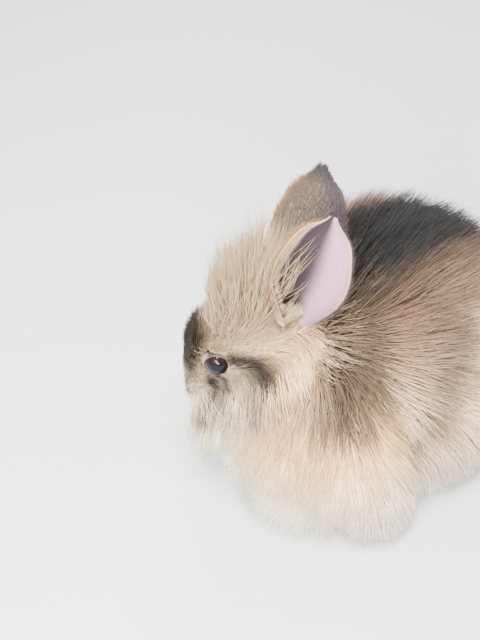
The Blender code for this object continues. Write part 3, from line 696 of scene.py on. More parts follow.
# %% Ear shells
EAR_WALL = 1.5
EAR_ARC = 30
EAR_RINGS = 40
EARS = {
    "left": {"base": (-43, 13.5, 3), "tip": (-44.0, -7.0, 172.0), "faces": (-0.95, -0.8, 0.1)},
    "right": {"base": (-43, -13.5, 3), "tip": (-22.0, 23.0, 176.0), "faces": (0.84, 0.53, 0.0)},
}
EAR_WIDTHS = (7.0, 12.0, 16.8, 17.8, 16.0, 12.0, 2.0)
EAR_DEPTHS = (7.0, 11.0, 12.5, 11.0, 8.5, 5.5, 1.2)
EAR_ANGLES = (150.0, 120.0, 98.0, 88.0, 80.0, 76.0, 70.0)
EAR_PINK = paint(146, 112, 127)
EAR_LILAC = paint(118, 93, 113)
# Painted shade for the deep fold inside each ear's cup, behind the front rim.
EAR_FOLD_SHADE = paint(18, 12, 12)
EAR_RIM = paint(170, 132, 96)
EAR_ORANGE = paint(172, 122, 74)
EAR_FRINGE = paint(172, 150, 118)
EAR_BACK = paint(86, 73, 61)
EAR_GREY = paint(62, 55, 58)
EAR_TIP = paint(36, 35, 42)


def ear_frame(side_name):
    ear = EARS[side_name]
    base = from_head(ear["base"])
    axis = unit(np.array(ear["tip"]) - base)
    faces = np.array(ear["faces"])
    opening = unit(faces - axis * faces.dot(axis))
    across = np.cross(axis, opening)
    front = math.copysign(1.0, across.dot(HEAD_AXES[0]))
    return base, axis, opening, across, front, np.linalg.norm(np.array(ear["tip"]) - base)


def ear_point(side_name, t, q, out):
    """A point of an ear: t runs from root to tip, q from -1 at the rear rim to 1 at the front one."""
    base, axis, opening, across, front, length = ear_frame(side_name)
    width = between(EAR_WIDTHS, t)
    depth = between(EAR_DEPTHS, t)
    angle = math.radians(between(EAR_ANGLES, t)) * q * front
    middle = base + axis * length * t + opening * 5.0 * math.sin(math.pi * t)
    return middle + across * math.sin(angle) * (width + out) - opening * math.cos(angle) * (depth + out)


def half_wall(t):
    """Half the thickness of an ear at t."""
    return EAR_WALL * (1.15 - 0.6 * t) / 2


def ear_shell(side_name):
    """Points, faces, and for each point its t, q and whether it is on the inner wall."""
    points, notes = [], []
    for ring in range(EAR_RINGS + 1):
        t = ring / EAR_RINGS
        wall = half_wall(t)
        loop = [(q, 1.0) for q in np.linspace(-1, 1, EAR_ARC)] + [(1.015, 0.0)]
        loop += [(q, -1.0) for q in np.linspace(1, -1, EAR_ARC)] + [(-1.015, 0.0)]
        for q, side in loop:
            thin = 0.6 if abs(q) == 1 else 1.0
            points.append(ear_point(side_name, t, q, side * wall * thin))
            notes.append((t, q, side))
    count = 2 * EAR_ARC + 2
    faces = []
    for ring in range(EAR_RINGS):
        faces += band(ring * count, (ring + 1) * count, count)
    for start in (0, EAR_RINGS * count):
        faces.append(tuple(range(start, start + count)))
    return np.array(points), faces, np.array(notes)


def ear_colour(t, q, inner):
    """Colours round the cup of an ear, with painted shade in the deep fold behind the front rim."""
    inside = mix(np.repeat(EAR_PINK[None], len(t), 0), EAR_LILAC, smooth_step(q, -0.6, 0.2) * 0.8)
    inside = mix(inside, EAR_RIM, smooth_step(-q, 0.62, 0.95) * 0.7)
    # Painted shade: a near-black stripe in the deep fold of the cup, behind the front rim.
    fold_shade = smooth_step(q, -0.30, 0.06) * smooth_step(-q, -0.66, -0.54) * smooth_step(t, 0.02, 0.14)
    inside = mix(inside, EAR_FRINGE, smooth_step(q, 0.56, 0.66))
    inside = mix(inside, EAR_FOLD_SHADE, fold_shade * 0.95)
    outside = mix(np.repeat(EAR_BACK[None], len(t), 0), EAR_GREY, smooth_step(-q, -0.1, 0.5) * 0.8)
    outside = mix(outside, EAR_ORANGE, smooth_step(q, 0.7, 0.95) * 0.6 * smooth_step(t, 0.05, 0.2))
    outside = mix(outside, TAN, 1 - smooth_step(t, 0.03, 0.14))
    outside = mix(outside, EAR_TIP, smooth_step(t, 0.82, 0.97) * 0.8)
    return np.where(inner[:, None], inside, outside)


ear_forms, ear_colours = {}, {}
for side_name in SIDES:
    points, faces, notes = ear_shell(side_name)
    ear_forms[side_name] = points, faces
    ear_colours[side_name] = ear_colour(notes[:, 0], notes[:, 1], notes[:, 2] < 0)
ear_points_all, ear_polygons = joined(ear_forms.values())
ear_polygons = [face for face in ear_polygons if len(face) == 4]
ear_tree = BVHTree.FromPolygons(ear_points_all.tolist(), ear_polygons)
print("ear faces", len(ear_polygons))

# %% [markdown]
# ## Growing the tufts
# A tuft is a thin closed blade of hair with three sides that tapers to a point. It starts in the skin,
# leaves it at the local lift, and bends step by step to the local flow and to gravity. Then each tuft leans
# towards its leader, a neighbour a few millimetres off, more at the tip than at the root. That gathers the
# coat into locks.

# %% Comb one group of tufts
DICE_SEED = 7
LOCK_SPACING = 60
WISP_SPACING = 9
FLOOR_CLEAR = 0.5
EAR_MARGIN = 4
# From and to which share of the table's length and lift, how far tufts sway, and how deep they are rooted
LENGTH_SHARES = (0.82, 1.12)
LIFT_SHARES = (0.6, 1.35)
SWAY = 0.13
ROOT_DEPTH = 0.8
# How the height over the skin grows along a tuft, and its least share
RISE_CURVE = 0.8
LEAST_RISE = 0.3
# How the lean towards a leader grows along a tuft, its range, and how far roots stay apart at the tips
LEAN_CURVE = 1.3
LEAN_SHARES = (0.55, 1.0)
STAY_APART = 0.12


def nearest_on_skin(points):
    """The closest place on the skin, its normal, and the height over it, for each point."""
    found = np.empty((len(points), 3))
    index = np.empty(len(points), int)
    for row, point in enumerate(points.tolist()):
        place, _, face, _ = skin_tree.find_nearest(point)
        found[row] = place
        index[row] = face
    corners = skin_tris[index]
    normal = unit(skin_normals[corners].sum(1))
    height = ((points - found) * normal).sum(1)
    return found, normal, height, corners[:, 0]


def flatten(normals, ways):
    """The ways turned into the plane of the skin."""
    return unit(ways - normals * (ways * normals).sum(1)[:, None])


def comb(roots, normals, looks_here, flow_here, steps, dice):
    """The points of each tuft from root to tip."""
    count = len(roots)
    length = looks_here["length"] * dice.uniform(*LENGTH_SHARES, count)
    lift = np.radians(looks_here["lift"] * dice.uniform(*LIFT_SHARES, count))
    sway = dice.normal(0, SWAY, (count, 3))
    lie = flatten(normals, flow_here + sway)
    heading = lie * np.cos(lift)[:, None] + normals * np.sin(lift)[:, None]
    point = roots.copy()
    line = [roots - normals * ROOT_DEPTH]
    hug = looks_here["hug"]
    for step in range(1, steps + 1):
        part = step / steps
        last = point
        point = point + heading * (length / steps)[:, None]
        near, near_normal, height, corner = nearest_on_skin(point)
        wanted = looks_here["rise"] * part ** RISE_CURVE
        height = np.maximum(height * (1 - hug) + wanted * hug, wanted * LEAST_RISE)
        point = near + near_normal * height[:, None]
        point[:, 2] = np.maximum(point[:, 2], FLOOR_CLEAR)
        line.append(point)
        local = unit(flow_here * 0.45 + flow[corner] * 0.55 + sway)
        pull = local * 0.9 - UP * looks_here["hang"][:, None]
        heading = unit(unit(point - last) * 0.9 + pull)
    return np.stack(line, axis=1)


def gather(lines, roots, spacing, strength, dice):
    """Leans each tuft towards a leader, more and more towards its tip."""
    count = len(lines)
    leaders = dice.choice(count, max(1, count // spacing), replace=False)
    tree = kdtree.KDTree(len(leaders))
    for index, leader in enumerate(leaders):
        tree.insert(roots[leader], index)
    tree.balance()
    chosen = leaders[[tree.find(root)[1] for root in roots]]
    steps = lines.shape[1] - 1
    share = (np.arange(steps + 1) / steps) ** LEAN_CURVE * strength
    share = share[None, :, None] * dice.uniform(*LEAN_SHARES, (count, 1, 1))
    keep = (roots - roots[chosen])[:, None] * STAY_APART
    return lines * (1 - share) + (lines[chosen] + keep) * share


def trim(lines, shares):
    """Cuts each tuft to a share of its length, with its points spread evenly again."""
    steps = lines.shape[1] - 1
    places = np.arange(steps + 1)[None] * shares[:, None]
    low = np.minimum(places.astype(int), steps - 1)
    part = (places - low)[..., None]
    rows = np.arange(len(lines))[:, None]
    return lines[rows, low] * (1 - part) + lines[rows, low + 1] * part


def through_ears(lines):
    """Whether a tuft runs through an ear."""
    hit = np.zeros(len(lines), bool)
    low = ear_points_all.min(0) - EAR_MARGIN
    high = ear_points_all.max(0) + EAR_MARGIN
    near = ((lines > low) & (lines < high)).all(2).any(1)
    for row in np.nonzero(near)[0]:
        line = lines[row]
        for a, b in zip(line[1:], line[2:]):
            way = Vector(b - a)
            if ear_tree.ray_cast(Vector(a), way, way.length)[0] is not None:
                hit[row] = True
                break
    return hit


# %% [markdown]
# ## From lines to blades
# Each line becomes a blade of two or three rings of three corners and a tip. The colour runs from the root,
# a little darker, to the tip. The bake map gives each tuft a small patch of its own, at its root's place on
# an unwrap that is made from the skin's own shape: one chart for each region and each of six directions.

# %% Blades, colours and the bake map
BAKE_PATCH = 0.003
BAKE_GRID = 7
CHART_EDGE = 0.04
CHART_SIZE = 0.9
TUFT_FLATNESS = 0.5
# The share of the full width at each ring, root first, for blades of two and of three rings
RING_WIDTHS = {2: (0.8, 0.9), 3: (0.8, 1.0, 0.7)}
RING_ANGLES = np.radians((90.0, 210.0, 330.0))
model_low = skin_points.min(0)
model_span = skin_points.max(0) - model_low


def unwrap(points, normals, region):
    """A place on the bake map for each root."""
    axis = np.abs(normals).argmax(1)
    rows = np.arange(len(points))
    chart = region * 6 + axis * 2 + (normals[rows, axis] > 0)
    part = (points - model_low) / model_span
    u = np.where(axis == 0, part[:, 1], part[:, 0])
    v = np.where(axis == 2, part[:, 1], part[:, 2])
    cell = 1 / BAKE_GRID
    return np.stack([(chart % BAKE_GRID + CHART_EDGE + CHART_SIZE * np.clip(u, 0, 1)) * cell,
                     (chart // BAKE_GRID + CHART_EDGE + CHART_SIZE * np.clip(v, 0, 1)) * cell], axis=1)


def marked(name, mesh, colours, finish):
    """A smooth object with the markings on its points and one finish."""
    layer = mesh.color_attributes.new("markings", "FLOAT_COLOR", "POINT")
    rgba = np.concatenate([colours, np.ones((len(colours), 1))], axis=1)
    layer.data.foreach_set("color", rgba.astype(np.float32).ravel())
    mesh.materials.append(finish)
    mesh.shade_smooth()
    return shown(name, mesh)


def blades(name, lines, outs, widths, root_colours, tip_colours, places, finish):
    """One mesh object of closed tufts."""
    steps = lines.shape[1] - 1
    count = len(lines)
    ways = np.empty((count, steps, 3))
    ways[:, 0] = lines[:, 1] - lines[:, 0]
    ways[:, 1:] = lines[:, 2:] - lines[:, :-2]
    ways = unit(ways)
    side = unit(np.cross(ways, outs[:, None]))
    high = np.cross(side, ways)
    wide = widths[:, None] * np.array(RING_WIDTHS[steps])[None] / 2
    rings = [lines[:, :steps] + side * (wide * math.cos(angle))[..., None]
             + high * (wide * TUFT_FLATNESS * math.sin(angle))[..., None] for angle in RING_ANGLES]
    rings = np.stack(rings, axis=2).reshape(count, steps * 3, 3)
    points = np.concatenate([rings, lines[:, -1:]], axis=1)
    points[:, :, 2] = np.maximum(points[:, :, 2], FLOOR_CLEAR * 0.5)
    corners = steps * 3 + 1
    pattern = [(0, 2, 1)]
    for ring in range(steps - 1):
        for k in range(3):
            a, b = ring * 3 + k, ring * 3 + (k + 1) % 3
            pattern += [(a, b, b + 3), (a, b + 3, a + 3)]
    last = (steps - 1) * 3
    pattern += [(last + k, last + (k + 1) % 3, corners - 1) for k in range(3)]
    pattern = np.array(pattern)
    tris = (pattern[None] + (np.arange(count) * corners)[:, None, None]).reshape(-1, 3)
    flat = to_frame(points.reshape(-1, 3))
    mesh = bpy.data.meshes.new(name)
    mesh.vertices.add(len(flat))
    mesh.vertices.foreach_set("co", flat.astype(np.float32).ravel())
    mesh.loops.add(len(tris) * 3)
    mesh.loops.foreach_set("vertex_index", tris.astype(np.int32).ravel())
    mesh.polygons.add(len(tris))
    mesh.polygons.foreach_set("loop_start", (np.arange(len(tris)) * 3).astype(np.int32))
    mesh.update(calc_edges=True)
    along = np.concatenate([np.repeat(np.arange(steps) / steps, 3), (1.0,)])
    shades = root_colours[:, None] * (1 - along[None, :, None]) + tip_colours[:, None] * along[None, :, None]
    obj = marked(name, mesh, shades.reshape(-1, 3), finish)
    across = np.concatenate([np.tile((0.0, 1.0, 0.5), steps), (0.5,)])
    uv = places[:, None] + np.stack([across, along], axis=1)[None] * BAKE_PATCH
    bake = mesh.uv_layers.new(name="OFBake")
    bake.data.foreach_set("uv", uv.reshape(-1, 2)[tris.ravel()].astype(np.float32).ravel())
    print(name, count, "tufts", len(tris), "triangles")
    return obj


# %% [markdown]
# ## Finishes
# Hair is matt with a soft sheen, and no two hairs have quite the same tone. One shader group, a grain that
# varies the colour over a few sizes, serves the coat, the skin, the ears and the claws, each with its own
# values. Three helpers keep the wiring short: for a node with its inputs, for a group's sockets and for a
# new material.

# %% Helpers for nodes and materials
def add_node(tree, kind, inputs=None, **settings):
    """A node with its settings. Each input gets a value, or the output of another node."""
    made = tree.nodes.new(kind)
    for name, value in settings.items():
        setattr(made, name, value)
    for socket, value in (inputs or {}).items():
        if isinstance(value, bpy.types.NodeSocket):
            tree.links.new(value, made.inputs[socket])
        else:
            made.inputs[socket].default_value = value
    return made


def add_sockets(tree, way, **kinds):
    """Named sockets on a group, in this order."""
    for name, kind in kinds.items():
        tree.interface.new_socket(name, in_out=way, socket_type="NodeSocket" + kind)


def new_finish(name, values):
    """A material and its shader, with these values on the shader's own sockets."""
    made = bpy.data.materials.new(name)
    made.use_nodes = True
    shader = made.node_tree.nodes["Principled BSDF"]
    for socket, value in values.items():
        shader.inputs[socket].default_value = value
    return made, shader


# %% The shared grain and the hair, skin and ear materials
HAIR_GLOSS = 0.15
SHEEN_SPREAD = 0.5
GLOW_DEPTH = 0.002
BUMP_HEIGHT = 0.0005


def make_grain():
    """A node group that varies a colour in fine and coarse patches, and puts out a height for bump."""
    group = bpy.data.node_groups.new("fur_grain", "ShaderNodeTree")
    add_sockets(group, "INPUT", Colour="Color", Size="Float", Strength="Float")
    add_sockets(group, "OUTPUT", Colour="Color", Height="Float")
    come = add_node(group, "NodeGroupInput")
    where = add_node(group, "ShaderNodeTexCoord")
    noise = add_node(group, "ShaderNodeTexNoise",
                     {"Vector": where.outputs["Object"], "Scale": come.outputs["Size"], "Detail": 4.0})
    centre = add_node(group, "ShaderNodeMath", {0: noise.outputs["Fac"], 1: 0.5}, operation="SUBTRACT")
    spread = add_node(group, "ShaderNodeMath", {0: centre.outputs[0], 1: come.outputs["Strength"], 2: 1.0},
                      operation="MULTIPLY_ADD")
    tone = add_node(group, "ShaderNodeVectorMath", {0: come.outputs["Colour"], "Scale": spread.outputs[0]},
                    operation="SCALE")
    add_node(group, "NodeGroupOutput", {"Colour": tone.outputs[0], "Height": noise.outputs["Fac"]})
    return group


grain = make_grain()


def grained(tree, shader, colour, size, strength):
    """The shared grain, set between a colour and the shader."""
    mixer = add_node(tree, "ShaderNodeGroup", {"Colour": colour, "Size": size, "Strength": strength},
                     node_tree=grain)
    tree.links.new(mixer.outputs["Colour"], shader.inputs["Base Color"])
    return mixer


def furry(name, roughness, sheen, grain_size, grain_strength, bump=0.0, subsurface=0.0):
    """A material that reads the painted markings and varies them with the shared grain."""
    made, shader = new_finish(name, {
        "Roughness": roughness, "Specular IOR Level": HAIR_GLOSS, "Sheen Weight": sheen,
        "Sheen Roughness": SHEEN_SPREAD, "Subsurface Weight": subsurface, "Subsurface Scale": GLOW_DEPTH})
    tree = made.node_tree
    markings = add_node(tree, "ShaderNodeAttribute", attribute_name="markings")
    mixer = grained(tree, shader, markings.outputs["Color"], grain_size, grain_strength)
    if bump:
        relief = add_node(tree, "ShaderNodeBump", {"Strength": bump, "Distance": BUMP_HEIGHT,
                                                   "Height": mixer.outputs["Height"]})
        tree.links.new(relief.outputs["Normal"], shader.inputs["Normal"])
    return made


long_hair = furry("long_hair", 0.7, 0.03, 220.0, 0.3)
short_hair = furry("short_hair", 0.75, 0.03, 400.0, 0.3)
hide = furry("hide_with_short_fur", 0.85, 0.02, 900.0, 0.5, bump=0.6)
ear_skin = furry("ear_skin", 0.55, 0.05, 350.0, 0.25, bump=0.25, subsurface=0.04)
lid_skin = furry("lid_skin", 0.35, 0.0, 600.0, 0.2, bump=0.2)
print("materials", len(bpy.data.materials))

# %% Skin object with the markings on it
def dressed(name, points, faces, colours, finish):
    """A mesh object in the frame's metres with its markings painted on its points."""
    return marked(name, plain_mesh(name, to_frame(points), faces), colours, finish)


UNDER_SHADE = 0.9
skin = dressed("skin", skin_points, skin_tris, skin_colours * UNDER_SHADE, hide)
ears = [dressed(f"ear_{name}_shell", *ear_forms[name], ear_colours[name], ear_skin) for name in SIDES]

# %% [markdown]
# ## Roots and pieces
# Roots are drawn on the skin's triangles, as many to each as its area and the table ask. Every root reads the
# table, the flow and the markings where it stands. The tufts then grow region by region.

# %% Roots of the coat
LONG_FROM = 15.0
LONG_STEPS = 3
SHORT_STEPS = 2
COAT_PIECE = 12000
SHORT_PIECE = 19000

dice = np.random.default_rng(DICE_SEED)
corner_points = skin_points[skin_tris]
face_area = np.linalg.norm(np.cross(corner_points[:, 1] - corner_points[:, 0],
                                    corner_points[:, 2] - corner_points[:, 0]), axis=1) / 2
face_density = look["density"][skin_tris].mean(1)
expected = face_area * face_density
number = int(expected.sum())
chosen_faces = dice.choice(len(skin_tris), number, p=expected / expected.sum())
weights = dice.dirichlet((1, 1, 1), number)
root_corners = skin_tris[chosen_faces]


def at_roots(values):
    """Values of the skin's points, read at the roots."""
    if values.ndim == 1:
        return (values[root_corners] * weights).sum(1)
    return (values[root_corners] * weights[..., None]).sum(1)


roots = at_roots(skin_points)
root_normals = unit(at_roots(skin_normals))
root_flow = unit(at_roots(flow))
root_look = {column: at_roots(values) for column, values in look.items()}
root_shares = {name: at_roots(values) for name, values in share_of.items()}
root_region = np.stack([root_shares[name] for name in REGION_NAMES], axis=1).argmax(1)
root_uv = unwrap(roots, root_normals, root_region)
root_colours = coat_colour(roots, root_shares)
is_long = root_look["length"] > LONG_FROM
print("tufts", number, "of them long", int(is_long.sum()))

# %% Grow the tufts and make the coat pieces
TONE_SPREAD = 0.07
ROOT_SHADE = 0.82
TIP_SHADES = (0.97, 1.12)
FEWEST_TUFTS = 50
# What is left of a tuft, the curve of that share, how frizzy it is and how its width varies
LEFT_SHARES = (0.6, 1.0)
LEFT_CURVE = 0.6
FRIZZ = 0.02
WIDTH_SHARES = (0.7, 1.25)
LONG_GATHER = (0.45, 0.5)
SHORT_GATHER = (0.15, 0.3)
PIECES = {
    "body_coat": ("trunk", "tail"),
    "mane_coat": ("neck",),
    "crown_coat": ("head",),
    "leg_coat": ("thigh", "elbow", "hind_foot", "fore_foot"),
}


def coat_piece(name, rows, steps, strengths, finish):
    """Grows the tufts with these rows of roots, in pieces that stay small enough to export."""
    looks_here = {column: values[rows] for column, values in root_look.items()}
    lines = comb(roots[rows], root_normals[rows], looks_here, root_flow[rows], steps, dice)
    for spacing, strength in zip((LOCK_SPACING, WISP_SPACING), strengths):
        lines = gather(lines, roots[rows], spacing, strength, dice)
    lines = trim(lines, dice.uniform(*LEFT_SHARES, len(rows)) ** LEFT_CURVE)
    frizz = (np.arange(steps + 1) / steps)[None, :, None] * FRIZZ * looks_here["length"][:, None, None]
    lines = lines + dice.normal(0, 1.0, lines.shape) * frizz
    clear = ~through_ears(lines)
    rows, lines = rows[clear], lines[clear]
    colour = root_colours[rows] * dice.normal(1.0, TONE_SPREAD, (len(rows), 1))
    root_tone = colour * ROOT_SHADE
    tip_tone = np.clip(colour * dice.uniform(*TIP_SHADES, (len(rows), 1)), 0, 0.95)
    widths = root_look["width"][rows] * dice.uniform(*WIDTH_SHARES, len(rows))
    most = COAT_PIECE if steps == LONG_STEPS else SHORT_PIECE
    parts = max(1, math.ceil(len(rows) / most))
    made = []
    for part in range(parts):
        pick = slice(part, None, parts)
        label = name if parts == 1 else f"{name}_{part + 1}"
        made.append(blades(label, lines[pick], root_normals[rows[pick]], widths[pick], root_tone[pick],
                           tip_tone[pick], root_uv[rows[pick]], finish))
    return made


coat = []
for name, regions in PIECES.items():
    member = np.isin(root_region, [REGION_NAMES.index(region) for region in regions])
    coat += coat_piece(name, np.nonzero(member & is_long)[0], LONG_STEPS, LONG_GATHER, long_hair)
    short_rows = np.nonzero(member & ~is_long)[0]
    if len(short_rows) > FEWEST_TUFTS:
        coat += coat_piece(name.replace("_coat", "_down"), short_rows, SHORT_STEPS, SHORT_GATHER, short_hair)

# %% [markdown]
# ## Fur of the ears
# Short hair covers the back of each ear, a pale fringe stands along its front rim, and longer hair fills its
# root.

# %% Ear fur
EAR_TUFTS = 5200
RIM_TUFTS = 420
RIM_FROM = 0.93
RIM_LONGER = 1.5
EAR_HAIR = (2.6, 4.6)
EAR_HAIR_WIDTH = 0.5
EAR_ROOT_SHADE = 0.8
EAR_CHART = 0.35
# The fringe, then the root: how many tufts, from and to which t, from which q, and how long
EAR_INNER = ((520, 0.10, 0.86, 0.72, 4.4), (240, -0.04, 0.07, -0.2, 10.0))


def ear_fur(side_name):
    """Lines, outward ways, widths, colours and bake places of one ear's fur."""
    _, axis, opening, across, front, _ = ear_frame(side_name)
    t = dice.beta(1.15, 1.0, EAR_TUFTS) * 0.985
    q = dice.uniform(-1, 1, EAR_TUFTS)
    rim = dice.integers(0, EAR_TUFTS, RIM_TUFTS)
    q[rim] = dice.uniform(RIM_FROM, 1.0, RIM_TUFTS)
    lines, outs = [], []
    for t_one, q_one in zip(t, q):
        wall = half_wall(t_one)
        here = ear_point(side_name, t_one, q_one, wall * 0.6)
        above = ear_point(side_name, min(1.0, t_one + 0.03), q_one, wall * 0.6)
        out = unit(ear_point(side_name, t_one, q_one, wall + 1) - here)
        long = dice.uniform(*EAR_HAIR) * (RIM_LONGER if q_one > RIM_FROM else 1.0)
        lie = unit(unit(above - here) + dice.normal(0, 0.18, 3))
        lines.append((here, here + (lie * 0.92 + out * 0.30) * long * 0.5, here + (lie + out * 0.22) * long))
        outs.append(out)
    colours = ear_colour(t, q, np.zeros(len(t), bool))
    for part, low, high, front_from, long in EAR_INNER:
        t_in = dice.uniform(low, high, part)
        q_in = dice.uniform(front_from, 0.98, part)
        for t_one, q_one in zip(t_in, q_in):
            t_one = max(0.0, t_one)
            wall = half_wall(t_one)
            here = ear_point(side_name, t_one, q_one, -wall * 0.6)
            inward = unit(here - ear_point(side_name, t_one, q_one, wall + 1))
            lie = unit(axis + opening * 0.25 - across * front * 0.35 * (q_one > 0.4) + inward * 0.3
                       + dice.normal(0, 0.14, 3))
            reach = long * dice.uniform(0.6, 1.1)
            lines.append((here, here + (lie + inward * 0.15) * reach * 0.5, here + lie * reach))
            outs.append(inward)
        colours = np.concatenate([colours, np.repeat(EAR_FRINGE[None], part, 0)])
        t, q = np.concatenate([t, t_in]), np.concatenate([q, q_in])
    beside = EAR_CHART if side_name == "left" else 0.0
    places = np.stack([0.02 + 0.3 * (q + 1) / 2 + beside, 0.02 + 0.9 * t], axis=1)
    return np.array(lines), np.array(outs), np.full(len(t), EAR_HAIR_WIDTH), colours, places


for side_name in SIDES:
    lines, outs, widths, colours, places = ear_fur(side_name)
    tone = dice.normal(1.0, 0.08, (len(lines), 1))
    coat.append(blades(f"ear_{side_name}_fur", lines, outs, widths, colours * tone * EAR_ROOT_SHADE,
                       colours * tone, places, short_hair))

# %% [markdown]
# ## Eyes and lids
# The globe is glossy, with a blue-black pupil in a dark brown iris. Its pattern is drawn from the angle to
# the way the eye looks. The lids are a soft ring with a rounded wet edge, widest in front and below.

# %% Eyes
EYE_SEGMENTS = 64
EYE_RINGS = 40
GLOBE_GAP = 0.25
CORNEA_BULGE = 0.03
EYE_GLOSS = {"Roughness": 0.04, "IOR": 1.29, "Specular IOR Level": 0.34}
PUPIL_EDGE = 0.885
IRIS_EDGE = 0.60
# Colours from the back of the globe to the middle of the pupil
EYE_STOPS = ((0.0, paint(18, 12, 10)), (IRIS_EDGE, paint(26, 17, 14)), (IRIS_EDGE + 0.1, paint(24, 15, 11)),
             (PUPIL_EDGE - 0.04, paint(18, 11, 8)), (PUPIL_EDGE, paint(8, 9, 14)), (1.0, paint(4, 6, 14)))


def eye_finish(side_name, centre, gaze):
    """Glossy material with rings round the way the eye looks."""
    made, shader = new_finish(f"eye_{side_name}", EYE_GLOSS)
    tree = made.node_tree
    where = add_node(tree, "ShaderNodeTexCoord")
    shift = add_node(tree, "ShaderNodeVectorMath", {0: where.outputs["Object"], 1: centre},
                     operation="SUBTRACT")
    turn = add_node(tree, "ShaderNodeVectorMath", {0: shift.outputs[0], 1: gaze / (EYE_RADIUS * MM)},
                    operation="DOT_PRODUCT")
    ramp = add_node(tree, "ShaderNodeValToRGB", {"Fac": turn.outputs["Value"]})
    for place, colour in EYE_STOPS[1:-1]:
        ramp.color_ramp.elements.new(place)
    for element, (place, colour) in zip(ramp.color_ramp.elements, EYE_STOPS):
        element.position = place
        element.color = (*colour, 1.0)
    tree.links.new(ramp.outputs["Color"], shader.inputs["Base Color"])
    return made


def eye_globe(side_name, side):
    """A globe with a slight bulge where the cornea is."""
    out, level, high = eye_axes(side)
    ball = bmesh.new()
    bmesh.ops.create_uvsphere(ball, u_segments=EYE_SEGMENTS, v_segments=EYE_RINGS, radius=1.0)
    points = np.array([vert.co for vert in ball.verts])
    faces = [[vert.index for vert in face.verts] for face in ball.faces]
    ball.free()
    swell = 1 + CORNEA_BULGE * smooth_step(points[:, 2], 0.6, 0.95)
    size = (swell * (EYE_RADIUS - GLOBE_GAP))[:, None]
    placed = (points[:, :1] * level + points[:, 1:2] * high + points[:, 2:] * out) * size
    centre = eye_middle(side)
    obj = shown(f"eye_{side_name}_globe", plain_mesh("globe", to_frame(from_head(centre + placed)), faces))
    gaze = unit(out - level * 0.12) @ HEAD_AXES
    obj.data.materials.append(eye_finish(side_name, to_frame(from_head(centre)), gaze))
    obj.data.shade_smooth()
    return obj


LID_PALE = paint(186, 158, 168)
LID_DARK = paint(58, 47, 44)
LID_PALEST = math.radians(-22.0)
LID_POINTS = 72
# Each ring of the lid: how far from the globe's edge (0) to the lid's outer edge (1), and how high over the
# globe
LID_RINGS = ((0.0, -0.5), (0.0, 0.15), (0.12, 0.42), (0.4, 0.55), (0.8, 0.45), (1.15, 0.2), (1.3, -0.8),
             (0.6, -1.2))


def opening_at(side, angle, wider=0.0):
    """A place on the edge of the eye's opening, or this far outside it, seen from the globe's middle."""
    _, level, high = eye_axes(side)
    return (level * math.cos(angle) * (GLOBE_HALF[0] + wider)
            + high * math.sin(angle) * (GLOBE_HALF[1] + wider))


def over_globe(side, flat, over):
    """The point this far over the globe that stands straight out from a flat place."""
    depth = math.sqrt(max(4.0, EYE_RADIUS ** 2 - flat.dot(flat)))
    return eye_middle(side) + unit(flat + eye_axes(side)[0] * depth) * (EYE_RADIUS + over)


def lid_ring(side_name, side):
    """The soft ring between the globe and the furred skin."""
    points, colours = [], []
    for share, over in LID_RINGS:
        for k in range(LID_POINTS):
            angle = math.tau * k / LID_POINTS
            flat = opening_at(side, angle) * (1 + share * bare_lid(angle) / GLOBE_HALF[1])
            points.append(over_globe(side, flat, over))
            pale = max(0.0, math.cos(angle - LID_PALEST)) ** 0.7 * min(1.0, share * 4)
            colours.append(LID_DARK * (1 - pale) + LID_PALE * pale)
    faces = []
    for ring in range(len(LID_RINGS)):
        faces += band(ring * LID_POINTS, (ring + 1) % len(LID_RINGS) * LID_POINTS, LID_POINTS)
    obj = dressed(f"lid_{side_name}", from_head(points), faces, np.array(colours), lid_skin)
    work = bmesh.new()
    work.from_mesh(obj.data)
    bmesh.ops.recalc_face_normals(work, faces=work.faces)
    work.to_mesh(obj.data)
    work.free()
    return obj


eyes = {name: eye_globe(name, side) for name, side in SIDES.items()}
lids = [lid_ring(name, side) for name, side in SIDES.items()]

# %% [markdown]
# ## Whiskers, lashes and claws
# Each of these is one small form, a round spike that bends and tapers, repeated where it grows. Geometry
# Nodes suit that: one tree makes the spike from a curve, sets a copy on every root, turns each to its own
# direction and length, and realizes the copies, so that a plain mesh is left. Its sizes are named inputs.

# %% A tree of nodes for bent spikes
ROOTS_SEED = 11


TIP_SHARE = 0.04


